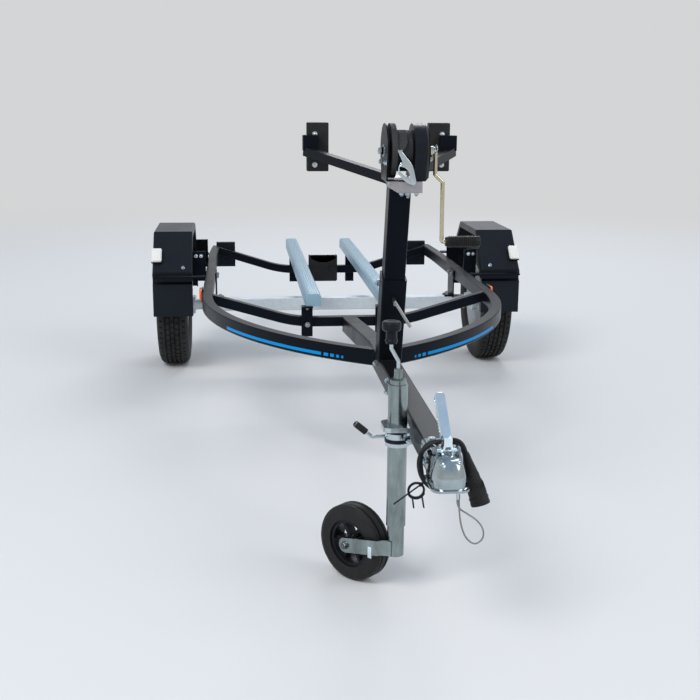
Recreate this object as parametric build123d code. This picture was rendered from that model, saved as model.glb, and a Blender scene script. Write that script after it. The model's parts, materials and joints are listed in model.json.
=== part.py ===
from build123d import *
import math
import os

# Small boat trailer for a water scooter, parked on its jockey wheel.
# Millimetres, +Z up, coupling towards -Y, +X to the right seen from the coupling end.
# Every size below is given from the wheel axle line (Y = 0 at the wheel centres, Z = 0 on the ground).
# The finished pieces move along Y so that the origin is on the ground under the middle of the length.

# Wheels
track_width = 1466
tyre_diameter = 560
tyre_width = 138
rim_diameter = 334
rim_width = 108
rim_wall = 5
rim_dish_depth = 22
rim_vent_count = 10
rim_vent_diameter = 26
hub_diameter = 84
hub_length = 74
hub_cap_length = 26
hub_bore = 30
bearing_clearance = 0.05
seat_gap = 0.3

# Axle
axle_beam_size = 56
axle_beam_top = 324
axle_beam_y = -140
axle_beam_half_length = 598
arm_thickness = 20
arm_root_radius = 42
arm_tip_radius = 30
arm_inner_face = 634
torsion_core_diameter = 46

# Frame tubes
drawbar_size = 60
drawbar_wall = 4
tube_corner = 5
rail_chamfer = 3.5
drawbar_top = 458
drawbar_front = -2760
drawbar_bend = -1650
rail_height = 50
rail_width = 40
rail_half_width = 580
rail_front_radius = 1200
rail_straight_front = -780
rail_straight_rear = 250
rail_rear_radius = 6000
rail_rear = 640
crossbeam_depth = 40
crossbeam_height = 38
crossbeam_flat_half = 215
crossbeam_bend_radius = 500
crossbeam_low_top = 362
crossbeam_rear_low_top = 354
crossbeam_end_drop = 2
crossbeam_front_y = -780
crossbeam_rear_y = 610

# Axle hangers and bunks
hanger_thickness = 6
hanger_length = 120
hanger_top_drop = 12
bunk_centre = 147
bunk_width = 62
bunk_height = 50
bunk_top = 462
bunk_round = 22
bunk_front = -830
bunk_rear = 880
bunk_post_width = 44
bunk_post_thickness = 10
bunk_post_drop = 37
bunk_post_rear_drop = 50
bunk_post_front_offset = 24
bunk_post_rear_offset = 1
keel_width = 146
keel_top = 417
keel_bottom = 281
keel_thickness = 50
keel_dip = 34

# Mudguards
guard_inner = 636
guard_outer = 806
guard_top = 630
guard_flat_half = 175
guard_half_length = 336
guard_shoulder = 474
guard_flap_height = 194
guard_tail_height = 174
guard_thickness = 4
guard_lip = 26
guard_corner = 8
guard_groove_depth = 12
guard_groove_top = 18
guard_groove_height = 36
guard_bracket_height = 8
guard_bracket_depth = 40
guard_plate_top = 546
guard_plate_y = 205
lamp_width = 44
lamp_height = 68
lamp_depth = 24
lamp_outset = 16
lamp_place_on_slope = 0.36
reflector_length = 60
reflector_height = 40
reflector_thickness = 14
reflector_y = -690
tail_lamp_width = 96
tail_lamp_height = 126
tail_lamp_depth = 34
tail_lens_depth = 12
tail_lamp_x = 500
tail_lamp_top = 474
tail_lamp_seat = 1.2

# Winch post
post_ahead_of_nose = 106
post_lean = 17
sleeve_size = 70
sleeve_wall = 4.5
sleeve_length = 272
post_size = 60
post_wall = 4
post_clearance = 0.5
post_foot = 30
clamp_screw_diameter = 11
clamp_screw_height = 215
winch_bracket_length = 228
winch_bracket_width = 62
winch_bracket_height = 29
winch_bracket_wall = 4
winch_bracket_bottom = 975

# Winch
winch_height = 75
winch_flange_diameter = 138
winch_flange_thickness = 14
winch_drum_width = 41
winch_side = -15.5
winch_plate_gap = 8
winch_plate_thickness = 4
winch_foot = 90
winch_strap_diameter = 104
winch_core_diameter = 46
winch_cover_width = 40
winch_cover_bevel = 9
winch_forward = 178
crank_length = 234
crank_offset = 20
crank_boss_length = 16
crank_rod = 11
crank_grip_length = 93
crank_grip_diameter = 30
hook_rod = 9
hook_eye_radius = 8

# Bow stop
bow_pad_centre = 189
bow_pad_width = 67
bow_pad_height = 148
bow_pad_thickness = 40
bow_pad_y = -1600
bow_pad_middle = 1062
bow_arm_size = 26
bow_arm_root_z = 990
bow_arm_end_x = 225
bow_arm_end_z = 1050
bow_tip_size = 46
bow_tip_middle = 1076

# Coupling head
neck_width = 70
neck_top = 463
neck_rear = -2688
neck_front = -2812
lever_pivot_y = -2800
ball_radius = 25.2
ball_centre_y = -2835
ball_centre_z = 420
socket_skirt_depth = 18
hood_half_width = 31
hood_reach = 35
hood_foot = 10
lip_reach = 45
lip_half_width = 42
lip_thickness = 5
hood_top = 465
hood_corner = 18
lip_corner = 24
hood_taper = 7
neck_corner = 9
ear_inner = 23
ear_thickness = 4
lever_width = 24
lever_length = 116
lever_height = 16
lever_wall = 3
lever_foot_z = 500
lever_foot_y = -2797
lever_lean = 38.5

# Jockey wheel
jockey_x = -61
jockey_y = -2500
jockey_tube_diameter = 48
jockey_tube_wall = 3
jockey_swivel_clearance = 0.05
jockey_tube_bottom = 180
jockey_tube_top = 541
jockey_inner_diameter = jockey_tube_diameter - 2 * jockey_tube_wall - 2 * jockey_swivel_clearance
jockey_inner_top = 272
jockey_inner_bottom = 102
clamp_ring_diameter = 60
clamp_ring_bottom = 388
clamp_ring_top = 441
clamp_flange_height = 12
clamp_plate_size = 76
jockey_trail = 132
jockey_heading = 43.5
jockey_wheel_diameter = 200
jockey_wheel_width = 54
jockey_shoulder = 9
jockey_groove = 4
jockey_rim_diameter = 124
jockey_rim_wall = 9
jockey_hub_diameter = 36
jockey_spoke_count = 6
jockey_spoke_width = 9
jockey_arm_height = 39
jockey_arm_drop = 22
jockey_arm_thickness = 6
jockey_arm_flare = 30
jockey_axle_diameter = 12
jockey_side_gap = 7
jockey_crank_rod = 9
jockey_grip_top = 696

origin_shift = -(ball_centre_y - lip_reach + bunk_rear) / 2
hub_height = tyre_diameter / 2
rail_bottom = drawbar_top - rail_height
lean = math.radians(post_lean)
nose_reach = rail_front_radius - rail_half_width + drawbar_size / 2
rail_nose_y = rail_straight_front - math.sqrt(rail_front_radius ** 2 - nose_reach ** 2)
post_base_y = rail_nose_y - post_ahead_of_nose
lip_bottom = ball_centre_z - socket_skirt_depth


def block(x0, x1, y0, y1, z0, z1):
    """A box between two corners."""
    return Pos((x0 + x1) / 2, (y0 + y1) / 2, (z0 + z1) / 2) * Box(abs(x1 - x0), abs(y1 - y0), abs(z1 - z0))


def rod(start, end, diameter):
    """A round bar between two points."""
    line = Edge.make_line(start, end)
    section = Plane(origin=start, z_dir=line.tangent_at(0))
    return extrude(section * Circle(diameter / 2), line.length)


def bent_rod(points, radius, diameter):
    """A round bar along straight runs joined by tangent arcs."""
    path = FilletPolyline(*points, radius=radius)
    section = Plane(origin=path @ 0, z_dir=path % 0)
    return sweep(section * Circle(diameter / 2), path=path)


def rounded_bar(width, height, length, corner=tube_corner):
    """A bar along Z, centred on the origin, with its long edges rounded."""
    return extrude(RectangleRounded(width, height, corner), length / 2, both=True)


def side_plate(points, x0, x1):
    """A flat outline of (y, z) points, thick from x0 to x1."""
    outline = make_face(Polyline(*[(0, y, z) for y, z in points], close=True))
    return Pos(x0, 0, 0) * extrude(outline, amount=x1 - x0, dir=(1, 0, 0))


def both_sides(piece):
    """The piece and its mirror image across the middle plane."""
    return [piece, mirror(piece, about=Plane.YZ)]


def post_frame(height, forward=0):
    """A place on the leaning post: height along it from the drawbar, forward out of its front face."""
    upward = (0, -math.sin(lean), math.cos(lean))
    base = Plane(origin=(0, post_base_y, drawbar_top), x_dir=(1, 0, 0), z_dir=upward)
    return base * Pos(0, -forward, height)


# Frame

def make_drawbar():
    """Square tube, level behind the coupling, bent down to the low middle of the front crossbeam."""
    beam_face = crossbeam_front_y - crossbeam_depth / 2
    half = drawbar_size / 2
    deep = drawbar_size
    wall = drawbar_wall
    outer = [
        (drawbar_front, drawbar_top - deep),
        (drawbar_front, drawbar_top),
        (drawbar_bend, drawbar_top),
        (beam_face, crossbeam_low_top),
        (beam_face, crossbeam_low_top - deep),
        (drawbar_bend, drawbar_top - deep),
    ]
    inner = [
        (drawbar_front - 1, drawbar_top - deep + wall),
        (drawbar_front - 1, drawbar_top - wall),
        (drawbar_bend, drawbar_top - wall),
        (beam_face - wall, crossbeam_low_top - wall),
        (beam_face - wall, crossbeam_low_top - deep + wall),
        (drawbar_bend, drawbar_top - deep + wall),
    ]
    tube = side_plate(outer, -half, half)
    long_edges = [edge for edge in tube.edges() if abs(edge.tangent_at(0.5).Y) > 0.5]
    tube = fillet(long_edges, tube_corner)
    return tube - side_plate(inner, wall - half, half - wall)


def rail_edge(inset):
    """The rail's plan curve, set in from its outer edge: nose arc, straight, rear arc."""
    nose = (rail_half_width - rail_front_radius, rail_straight_front)
    tail = (rail_half_width - rail_rear_radius, rail_straight_rear)
    nose_radius = rail_front_radius - inset
    tail_radius = rail_rear_radius - inset
    nose_angle = math.degrees(math.acos(-nose[0] / rail_front_radius)) + 1
    tail_angle = math.degrees(math.asin((rail_rear - rail_straight_rear) / rail_rear_radius))
    x = rail_half_width - inset
    return [
        CenterArc((nose[0], nose[1], 0), nose_radius, -nose_angle, nose_angle),
        Line((x, rail_straight_front), (x, rail_straight_rear)),
        CenterArc((tail[0], tail[1], 0), tail_radius, 0, tail_angle),
    ]


def make_rail_right():
    outer = rail_edge(0)
    inner = rail_edge(rail_width)
    front = Line(outer[0] @ 0, inner[0] @ 0)
    rear = Line(outer[2] @ 1, inner[2] @ 1)
    plan = make_face(outer + inner + [front, rear])
    rail = extrude(Pos(0, 0, rail_bottom) * plan, rail_height, dir=(0, 0, 1))
    level = [edge for edge in rail.edges() if abs(edge.tangent_at(0.5).Z) < 0.1]
    rail = chamfer([edge for edge in level if edge.length > 2 * rail_width], rail_chamfer)
    nose = rail_nose_y - rail_width
    return rail - block(-rail_half_width, drawbar_size / 2, nose - 200, nose + 400, 0, drawbar_top + 1)


def inside_of_rails():
    """The space between the two rails, from below the beams to above them."""
    edge = rail_edge(rail_width)
    close = [Line(edge[0] @ 0, (-1, (edge[0] @ 0).Y)), Line((-1, (edge[0] @ 0).Y), (-1, (edge[2] @ 1).Y)),
             Line((-1, (edge[2] @ 1).Y), edge[2] @ 1)]
    half = extrude(make_face(edge + close), drawbar_top * 2, dir=(0, 0, 1))
    return half + mirror(half, about=Plane.YZ)


def make_crossbeam(y, low_top):
    """Flat in the middle, bent smoothly up to the rails' inner sides."""
    middle_z = low_top - crossbeam_height / 2
    end_z = drawbar_top - crossbeam_end_drop - crossbeam_height / 2
    reach = rail_half_width - rail_width
    path = FilletPolyline((-reach, y, end_z), (-crossbeam_flat_half, y, middle_z),
                          (crossbeam_flat_half, y, middle_z), (reach, y, end_z), radius=crossbeam_bend_radius)
    stub = [Edge.make_line(path @ 0 - (path % 0) * 60, path @ 0),
            Edge.make_line(path @ 1, path @ 1 + (path % 1) * 60)]
    long_path = Wire([stub[0], *path.edges(), stub[1]])
    section = Plane(origin=long_path @ 0, x_dir=(0, 1, 0), z_dir=long_path % 0)
    beam = sweep(section * RectangleRounded(crossbeam_depth, crossbeam_height, tube_corner), path=long_path)
    return beam & inside_of_rails()


def make_axle_beam():
    bar = rounded_bar(axle_beam_size, axle_beam_size, 2 * axle_beam_half_length)
    return Pos(0, axle_beam_y, axle_beam_top - axle_beam_size / 2) * Rot(0, 90, 0) * bar


def make_axle_arm_right():
    root = (axle_beam_y, axle_beam_top - axle_beam_size / 2)
    tip = (0, hub_height)
    x0 = arm_inner_face
    x1 = arm_inner_face + arm_thickness
    root_edges = (Pos(*root) * Circle(arm_root_radius)).edges()
    tip_edges = (Pos(*tip) * Circle(arm_tip_radius)).edges()
    outline = make_hull([*root_edges, *tip_edges])
    arm = extrude(Plane(origin=(x0, 0, 0), x_dir=(0, 1, 0), z_dir=(1, 0, 0)) * outline, arm_thickness)
    core = rod((axle_beam_half_length, *root), (x0, *root), torsion_core_diameter)
    stub = rod((x1, *tip), (track_width / 2 + hub_length / 2, *tip), hub_bore - 2 * bearing_clearance)
    return arm + core + stub


def make_hangers():
    """Plates on the rails' inner sides with a foot bolted on the axle beam."""
    x = rail_half_width - rail_width
    half = hanger_length / 2
    plate = block(x - hanger_thickness, x, axle_beam_y - half, axle_beam_y + half, axle_beam_top,
                  drawbar_top - hanger_top_drop)
    foot = block(x - hanger_thickness - 30, x, axle_beam_y - half / 2, axle_beam_y + half / 2, axle_beam_top,
                 axle_beam_top + 6)
    return both_sides(plate + foot)


# Wheels

def make_tyre():
    """Tyre about the X axis, centred on the origin: bead, bulged sidewall, shoulder and tread."""
    outer = tyre_diameter / 2
    inner = rim_diameter / 2
    half = tyre_width / 2
    right = [
        (rim_width / 2, inner),
        (half - 4, inner + 17),
        (half, (outer + inner) / 2 - 2),
        (half - 5, outer - 28),
        (half - 17, outer - 9),
        (half - 42, outer),
    ]
    left = [(-x, radius) for x, radius in reversed(right)]
    return revolve(make_face(Polyline(*right, *left, close=True)), axis=Axis.X)


def make_rim():
    """Pressed steel rim with its disc, outer side towards +X."""
    radius = rim_diameter / 2 - seat_gap
    half = rim_width / 2
    wall = rim_wall
    barrel = revolve(make_face(Polyline(
        (-half, radius), (half, radius), (half, radius - wall), (rim_dish_depth + 14, radius - 3 * wall),
        (rim_dish_depth + 14, radius - 4 * wall), (-half + 30, radius - 4 * wall), (-half, radius - wall),
        close=True)),
        axis=Axis.X)
    bore = hub_diameter / 2 - 10
    disc = revolve(make_face(Polyline(
        (rim_dish_depth, bore), (rim_dish_depth, 66), (rim_dish_depth + 12, 82),
        (rim_dish_depth + 12, radius - 3 * wall),
        (rim_dish_depth + 12 - wall, radius - 3 * wall), (rim_dish_depth + 12 - wall, 84),
        (rim_dish_depth - wall, 68),
        (rim_dish_depth - wall, bore), close=True)), axis=Axis.X)
    rim = barrel + disc
    drill = Pos(rim_dish_depth, 0, 0) * Rot(0, 90, 0)
    vents = [drill * place * Cylinder(rim_vent_diameter / 2, 60)
             for place in PolarLocations(112, rim_vent_count)]
    return rim - vents


def make_hub():
    """Hub with its flange against the rim disc and its grease cap, about the X axis."""
    face = rim_dish_depth - rim_wall - seat_gap
    flange = rod((face - 12, 0, 0), (face, 0, 0), 130)
    barrel = rod((-hub_length / 2 - 18, 0, 0), (hub_length / 2, 0, 0), hub_diameter - 22)
    cap = rod((hub_length / 2, 0, 0), (hub_length / 2 + hub_cap_length, 0, 0), 50)
    bore = rod((-hub_length, 0, 0), (hub_length / 2 + 4, 0, 0), hub_bore)
    return flange + barrel + cap - bore


def at_wheel(piece, side):
    """Set a wheel piece made about the origin on its hub; the left one is mirrored."""
    if side < 0:
        piece = mirror(piece, about=Plane.YZ)
    return Pos(side * track_width / 2, 0, hub_height) * piece


# Bunks and keel rest

def make_bunk_right():
    x0 = bunk_centre - bunk_width / 2
    beam = block(x0, x0 + bunk_width, bunk_front, bunk_rear, bunk_top - bunk_height, bunk_top)
    long_top = beam.edges().filter_by(Axis.Y).group_by(Axis.Z)[-1]
    return fillet(long_top, bunk_round)


def make_bunk_posts(y, face, low_top, drop, offset):
    """Upright angles bolted on a crossbeam's face (-1 front, 1 rear) that carry the bunks."""
    near = y + face * crossbeam_depth / 2
    far = near + face * bunk_post_thickness
    half = bunk_post_width / 2
    under = bunk_top - bunk_height
    pieces = []
    for side in (-1, 1):
        x = side * bunk_centre - offset
        post = block(x - half, x + half, near, far, low_top - crossbeam_height - drop, under)
        foot = block(x - half, x + half, far, far + face * 30, under - 6, under)
        pieces.append(post + foot)
    return pieces


def make_keel_rest():
    front = crossbeam_rear_y - crossbeam_depth / 2 - keel_thickness
    half = keel_width / 2
    outline = make_face([
        Line((-half, keel_bottom), (half, keel_bottom)),
        Line((half, keel_bottom), (half, keel_top)),
        ThreePointArc((half, keel_top), (0, keel_top - keel_dip), (-half, keel_top)),
        Line((-half, keel_top), (-half, keel_bottom)),
    ])
    turned = Plane(origin=(0, front, 0), x_dir=(1, 0, 0), z_dir=(0, -1, 0)) * outline
    return extrude(turned, amount=keel_thickness, dir=(0, 1, 0))


# Mudguards and lamps

guard_outline = [
    (-guard_half_length, guard_shoulder - guard_flap_height),
    (-guard_half_length, guard_shoulder - guard_groove_top - guard_groove_height),
    (guard_groove_depth - guard_half_length, guard_shoulder - guard_groove_top - guard_groove_height + 10),
    (guard_groove_depth - guard_half_length, guard_shoulder - guard_groove_top - 10),
    (-guard_half_length, guard_shoulder - guard_groove_top),
    (-guard_half_length, guard_shoulder),
    (-guard_flat_half, guard_top),
    (guard_flat_half, guard_top),
    (guard_half_length, guard_shoulder),
    (guard_half_length, guard_shoulder - guard_tail_height),
]


def guard_region(inset):
    """The mudguard's side outline in the YZ plane, set in by a distance on every side but the bottom."""
    face = make_face(Polyline(*[(0, y, z) for y, z in guard_outline], close=True))
    if inset == 0:
        return face
    lowest = guard_shoulder - guard_tail_height
    deeper = [(y, z - 4 * guard_lip if z <= lowest else z) for y, z in guard_outline]
    long_face = make_face(Polyline(*[(0, y, z) for y, z in deeper], close=True))
    return offset(long_face, amount=-inset, kind=Kind.INTERSECTION)


def make_mudguard_right():
    """A shell over the wheel, open below, with rounded shoulders and a lip left along its open sides."""
    width = guard_outer - guard_inner
    shell = Pos(guard_inner, 0, 0) * extrude(guard_region(0), amount=width, dir=(1, 0, 0))
    over = [edge for edge in shell.edges() if edge.center().Z > guard_shoulder + 10 and edge.length > width + 10]
    shell = fillet(over, guard_corner)
    hollow_width = width - 2 * guard_thickness
    hollow = Pos(guard_inner + guard_thickness, 0, 0) * extrude(guard_region(guard_thickness), amount=hollow_width,
                                                                dir=(1, 0, 0))
    opening = Pos(guard_inner - 1, 0, 0) * extrude(guard_region(guard_lip), amount=width + 2, dir=(1, 0, 0))
    return shell - hollow - opening


def make_guard_brackets():
    rail_outer = rail_half_width
    pieces = []
    for way in (-1, 1):
        face = way * guard_half_length
        shelf_top = guard_shoulder - 14
        shelf = block(rail_outer, guard_outer - 8, face, face + way * guard_bracket_depth,
                      shelf_top - guard_bracket_height, shelf_top)
        y = way * guard_plate_y
        plate = block(rail_outer, guard_inner, y - 3, y + 3, rail_bottom + 6, guard_plate_top)
        pieces += both_sides(shelf) + both_sides(plate)
    return pieces


def make_front_lamps():
    slope = math.degrees(math.atan2(guard_top - guard_shoulder, guard_half_length - guard_flat_half))
    middle = Vector(0, -guard_half_length + lamp_place_on_slope * (guard_half_length - guard_flat_half),
                    guard_shoulder + lamp_place_on_slope * (guard_top - guard_shoulder))
    body = Box(lamp_width, lamp_height, lamp_depth, align=(Align.CENTER, Align.CENTER, Align.MIN))
    body = fillet(body.edges().filter_by(Axis.Z), 12)
    lamp = Pos(guard_outer - lamp_outset, middle.Y, middle.Z) * Rot(slope, 0, 0) * body
    return both_sides(lamp)


def tail_lamp_block(y0, depth, border, corner):
    """A lamp-sized block on the rail's end, smaller by a border, with its rear edges rounded."""
    half = tail_lamp_width / 2 - border
    block_shape = block(tail_lamp_x - half, tail_lamp_x + half, y0, y0 + depth,
                        tail_lamp_top - tail_lamp_height + border, tail_lamp_top - border)
    return fillet(block_shape.edges().group_by(Axis.Y)[-1], corner)


def tail_lamp_face():
    """The rails' ends are cut square to their bend, so their inner edges lie a little ahead of rail_rear."""
    return rail_rear - tail_lamp_seat + seat_gap


def make_tail_lamps():
    return both_sides(tail_lamp_block(tail_lamp_face(), tail_lamp_depth, 0, 8))


def make_tail_lenses():
    return both_sides(tail_lamp_block(tail_lamp_face() + tail_lamp_depth, tail_lens_depth, 8, 5))


def make_reflectors():
    x = rail_half_width
    plate = block(x, x + reflector_thickness, reflector_y - reflector_length / 2, reflector_y + reflector_length / 2,
                  rail_bottom + 14, rail_bottom + 14 + reflector_height)
    return both_sides(plate)


# Winch post

def make_post_sleeve():
    """Square socket on the drawbar, cut level where it is welded on."""
    bore = sleeve_size - 2 * sleeve_wall
    below_length = 60
    middle = post_frame((sleeve_length - below_length) / 2)
    outer = middle * rounded_bar(sleeve_size, sleeve_size, sleeve_length + below_length)
    inner = middle * rounded_bar(bore, bore, sleeve_length + below_length + 2, post_clearance)
    below = block(-sleeve_size, sleeve_size, post_base_y - 200, post_base_y + 200, drawbar_top - 200, drawbar_top)
    return outer - inner - below


def make_winch_post():
    """Leaning square tube in the sleeve, its top cut level under the winch bracket."""
    bore = post_size - 2 * post_wall
    reach = (winch_bracket_bottom - drawbar_top) / math.cos(lean) + post_size / 2
    middle = post_frame((post_foot + reach) / 2)
    outer = middle * rounded_bar(post_size, post_size, reach - post_foot)
    inner = middle * rounded_bar(bore, bore, reach - post_foot + 2)
    above = Pos(0, post_base_y, winch_bracket_bottom) * Box(
        800, 800, 200, align=(Align.CENTER, Align.CENTER, Align.MIN))
    return outer - inner - above


def make_clamp_screw():
    face = sleeve_size / 2
    screw = post_frame(clamp_screw_height) * Rot(90, 0, 0) * Pos(0, 0, face) * Cylinder(
        clamp_screw_diameter / 2, 34, align=(Align.CENTER, Align.CENTER, Align.MIN))
    start = (post_frame(clamp_screw_height, face + 30)).position
    handle = rod((start.X - 2, start.Y, start.Z + 8), (start.X + 44, start.Y - 6, start.Z - 66),
                 clamp_screw_diameter - 2)
    return screw + handle


def bracket_rear():
    """Where the rear end of the winch bracket lies, in line with the post's rear face."""
    axis_y = post_base_y - (winch_bracket_bottom - drawbar_top) * math.tan(lean)
    return axis_y + post_size / 2 / math.cos(lean)


def make_winch_bracket():
    rear = bracket_rear()
    front = rear - winch_bracket_length
    half = winch_bracket_width / 2
    z0 = winch_bracket_bottom
    top = z0 + winch_bracket_height
    wall = winch_bracket_wall
    outer = block(-half, half, front, rear, z0, top)
    inner = block(wall - half, half - wall, front - 1, rear - post_size * 1.2, z0 - 1, top - wall)
    return outer - inner


def winch_centre():
    return Vector(0, bracket_rear() - winch_forward, winch_bracket_bottom + winch_bracket_height + winch_height)


def winch_outline(diameter, foot, x0, thickness):
    """A round plate about the drum's axis that runs down to a straight foot on the bracket."""
    c = winch_centre()
    low = c.Z - winch_height
    around = Plane(origin=(x0, c.Y, c.Z), x_dir=(0, 1, 0), z_dir=(1, 0, 0))
    base = Pos(0, low - c.Z + 4) * Rectangle(foot, 8)
    return extrude(around * make_hull([*Circle(diameter / 2).edges(), *base.edges()]), thickness)


def winch_drum_ends():
    """X of the strap roll's left and right end."""
    return winch_side - winch_drum_width / 2, winch_side + winch_drum_width / 2


def make_winch_drum():
    c = winch_centre()
    left, right = winch_drum_ends()
    flange = left - winch_flange_thickness
    strap = rod((left, c.Y, c.Z), (right, c.Y, c.Z), winch_strap_diameter)
    disc = rod((flange, c.Y, c.Z), (left, c.Y, c.Z), winch_flange_diameter)
    ratchet = rod((flange - winch_plate_gap + seat_gap, c.Y, c.Z), (flange, c.Y, c.Z), winch_core_diameter)
    return strap + disc + ratchet


def make_winch_frame():
    """Two side plates on a foot plate, with the drum's shaft end standing out on the left."""
    c = winch_centre()
    left, right = winch_drum_ends()
    low = c.Z - winch_height
    x0 = left - winch_flange_thickness - winch_plate_gap - winch_plate_thickness
    x1 = right + seat_gap
    half = winch_foot / 2
    plate = winch_outline(winch_flange_diameter - 2, winch_foot, x0, winch_plate_thickness)
    inner_plate = block(x1, x1 + 3, c.Y - half, c.Y + half, low, c.Z + 28)
    foot = block(x0, x1 + 3, c.Y - half, c.Y + half, low, low + 3)
    shaft = rod((x0 - 8, c.Y, c.Z), (x0, c.Y, c.Z), 20)
    return plate + inner_plate + foot + shaft


def winch_cover_face():
    """X of the gear cover's outer face."""
    return winch_drum_ends()[1] + seat_gap + 3 + winch_cover_width


def make_winch_cover():
    start = winch_cover_face() - winch_cover_width
    cover = winch_outline(winch_flange_diameter, winch_foot, start, winch_cover_width)
    return chamfer(cover.faces().sort_by(Axis.X)[-1].edges(), winch_cover_bevel)


def make_winch_crank():
    c = winch_centre()
    x0 = winch_cover_face()
    x1 = x0 + crank_boss_length + 7
    x2 = x1 + crank_offset
    bend = crank_length * 0.26
    points = [(x0, c.Y, c.Z), (x1, c.Y, c.Z), (x1, c.Y - 4, c.Z - bend), (x2, c.Y - 6, c.Z - bend - 19),
              (x2, c.Y - 10, c.Z - crank_length), (x2 + 10, c.Y - 10, c.Z - crank_length)]
    boss = rod((x0, c.Y, c.Z), (x0 + crank_boss_length, c.Y, c.Z), 2 * crank_rod)
    return bent_rod(points, 6, crank_rod) + boss


def make_crank_grip():
    c = winch_centre()
    x0 = winch_cover_face() + crank_boss_length + 7 + crank_offset + 10
    y = c.Y - 10
    z = c.Z - crank_length
    return rod((x0, y, z), (x0 + crank_grip_length, y, z), crank_grip_diameter)


# Line of the hook from its eye, as (x, z) from the middle of the drum's axis.
hook_line = [(-22.5, 2), (14, -74), (4, -94), (-15, -76), (-23, -46)]


def hook_y():
    """The hook hangs in front of the strap roll and rests against it."""
    return winch_centre().Y - winch_strap_diameter / 2 - hook_rod / 2 - seat_gap


def make_winch_hook():
    """Snap hook: a round eye and a bar bent round into an open loop."""
    c = winch_centre()
    y = hook_y()
    bar = bent_rod([(x, y, c.Z + z) for x, z in hook_line], 9, hook_rod)
    x, z = hook_line[0]
    eye = Pos(x, y, c.Z + z + hook_eye_radius) * Rot(90, 0, 0) * Torus(hook_eye_radius, hook_rod / 2)
    return bar + eye


def make_bow_arms():
    """Square bars welded to the winch bracket's sides, each ending in a plate in front of its pad."""
    back = bow_pad_y - bow_pad_thickness / 2
    half = winch_bracket_width / 2
    start = Vector(half - bow_arm_size, bracket_rear() - bow_arm_size, bow_arm_root_z)
    end = Vector(bow_arm_end_x, back - bow_arm_size, bow_arm_end_z)
    line = Edge.make_line(start, end)
    section = Plane(origin=start, x_dir=(0, 0, 1), z_dir=line.tangent_at(0))
    arm = extrude(section * Rectangle(bow_arm_size, bow_arm_size), line.length)
    arm = arm - Pos(0, start.Y, start.Z) * Box(2 * half, 400, 200)
    tip = block(bow_pad_centre, bow_arm_end_x + 12, end.Y - bow_arm_size / 2, back,
                bow_tip_middle - bow_tip_size / 2, bow_tip_middle + bow_tip_size / 2)
    return both_sides(arm + tip)


def make_bow_pad_right():
    x0 = bow_pad_centre - bow_pad_width / 2
    y0 = bow_pad_y - bow_pad_thickness / 2
    pad = block(x0, x0 + bow_pad_width, y0, y0 + bow_pad_thickness, bow_pad_middle - bow_pad_height / 2,
                bow_pad_middle + bow_pad_height / 2)
    return fillet(pad.edges().group_by(Axis.Y)[-1], 10)


# Coupling

def housing_plan(half, front, corner, z):
    """Plan of the ball housing at height z: straight sides with rounded corners in front."""
    rear = drawbar_front - 12
    plan = Pos(0, (front + rear) / 2) * Rectangle(2 * half, rear - front)
    return Pos(0, 0, z) * fillet(plan.vertices().group_by(Axis.Y)[0], corner)


def make_ball_housing():
    """Tapered hood over the ball with a flared lip below and a domed cap on top."""
    front = ball_centre_y - hood_reach
    foot = extrude(housing_plan(hood_half_width - 1, front + 2, hood_corner, lip_bottom), hood_foot, dir=(0, 0, 1))
    bulge = lip_bottom + hood_foot
    plan = housing_plan(hood_half_width, front, hood_corner, bulge)
    hood = extrude(plan, amount=hood_top - bulge, dir=(0, 0, 1), taper=hood_taper)
    hood = fillet(hood.faces().sort_by(Axis.Z)[-1].edges(), 5)
    lip = extrude(housing_plan(lip_half_width, ball_centre_y - lip_reach, lip_corner, lip_bottom), lip_thickness,
                  dir=(0, 0, 1))
    dome_radius = 15
    dome = Pos(0, ball_centre_y - 2, hood_top - dome_radius + 5) * Sphere(dome_radius)
    return foot + hood + lip + dome


def make_coupling_head():
    """Pressed neck over the drawbar's end, ball housing with its socket, and two ears for the lever."""
    half = neck_width / 2
    bottom = drawbar_top - drawbar_size + 18
    neck = block(-half, half, neck_front, neck_rear, bottom, neck_top)
    neck = fillet(neck.edges().filter_by(Axis.Y).group_by(Axis.Z)[-1], neck_corner)
    channel = block(-drawbar_size / 2, drawbar_size / 2, drawbar_front, neck_rear + 1, bottom - 1, drawbar_top)
    ear = [(lever_pivot_y + 14, neck_top - 10), (lever_pivot_y + 12, neck_top + 19),
           (lever_pivot_y - 8, neck_top + 21), (lever_pivot_y - 42, hood_top - 8)]
    ears = [side_plate(ear, ear_inner, ear_inner + ear_thickness),
            side_plate(ear, -ear_inner - ear_thickness, -ear_inner)]
    socket = Pos(0, ball_centre_y, ball_centre_z) * Sphere(ball_radius) + Pos(
        0, ball_centre_y, ball_centre_z) * Cylinder(ball_radius, 60, align=(Align.CENTER, Align.CENTER, Align.MAX))
    return neck + make_ball_housing() + ears - channel - socket


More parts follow.
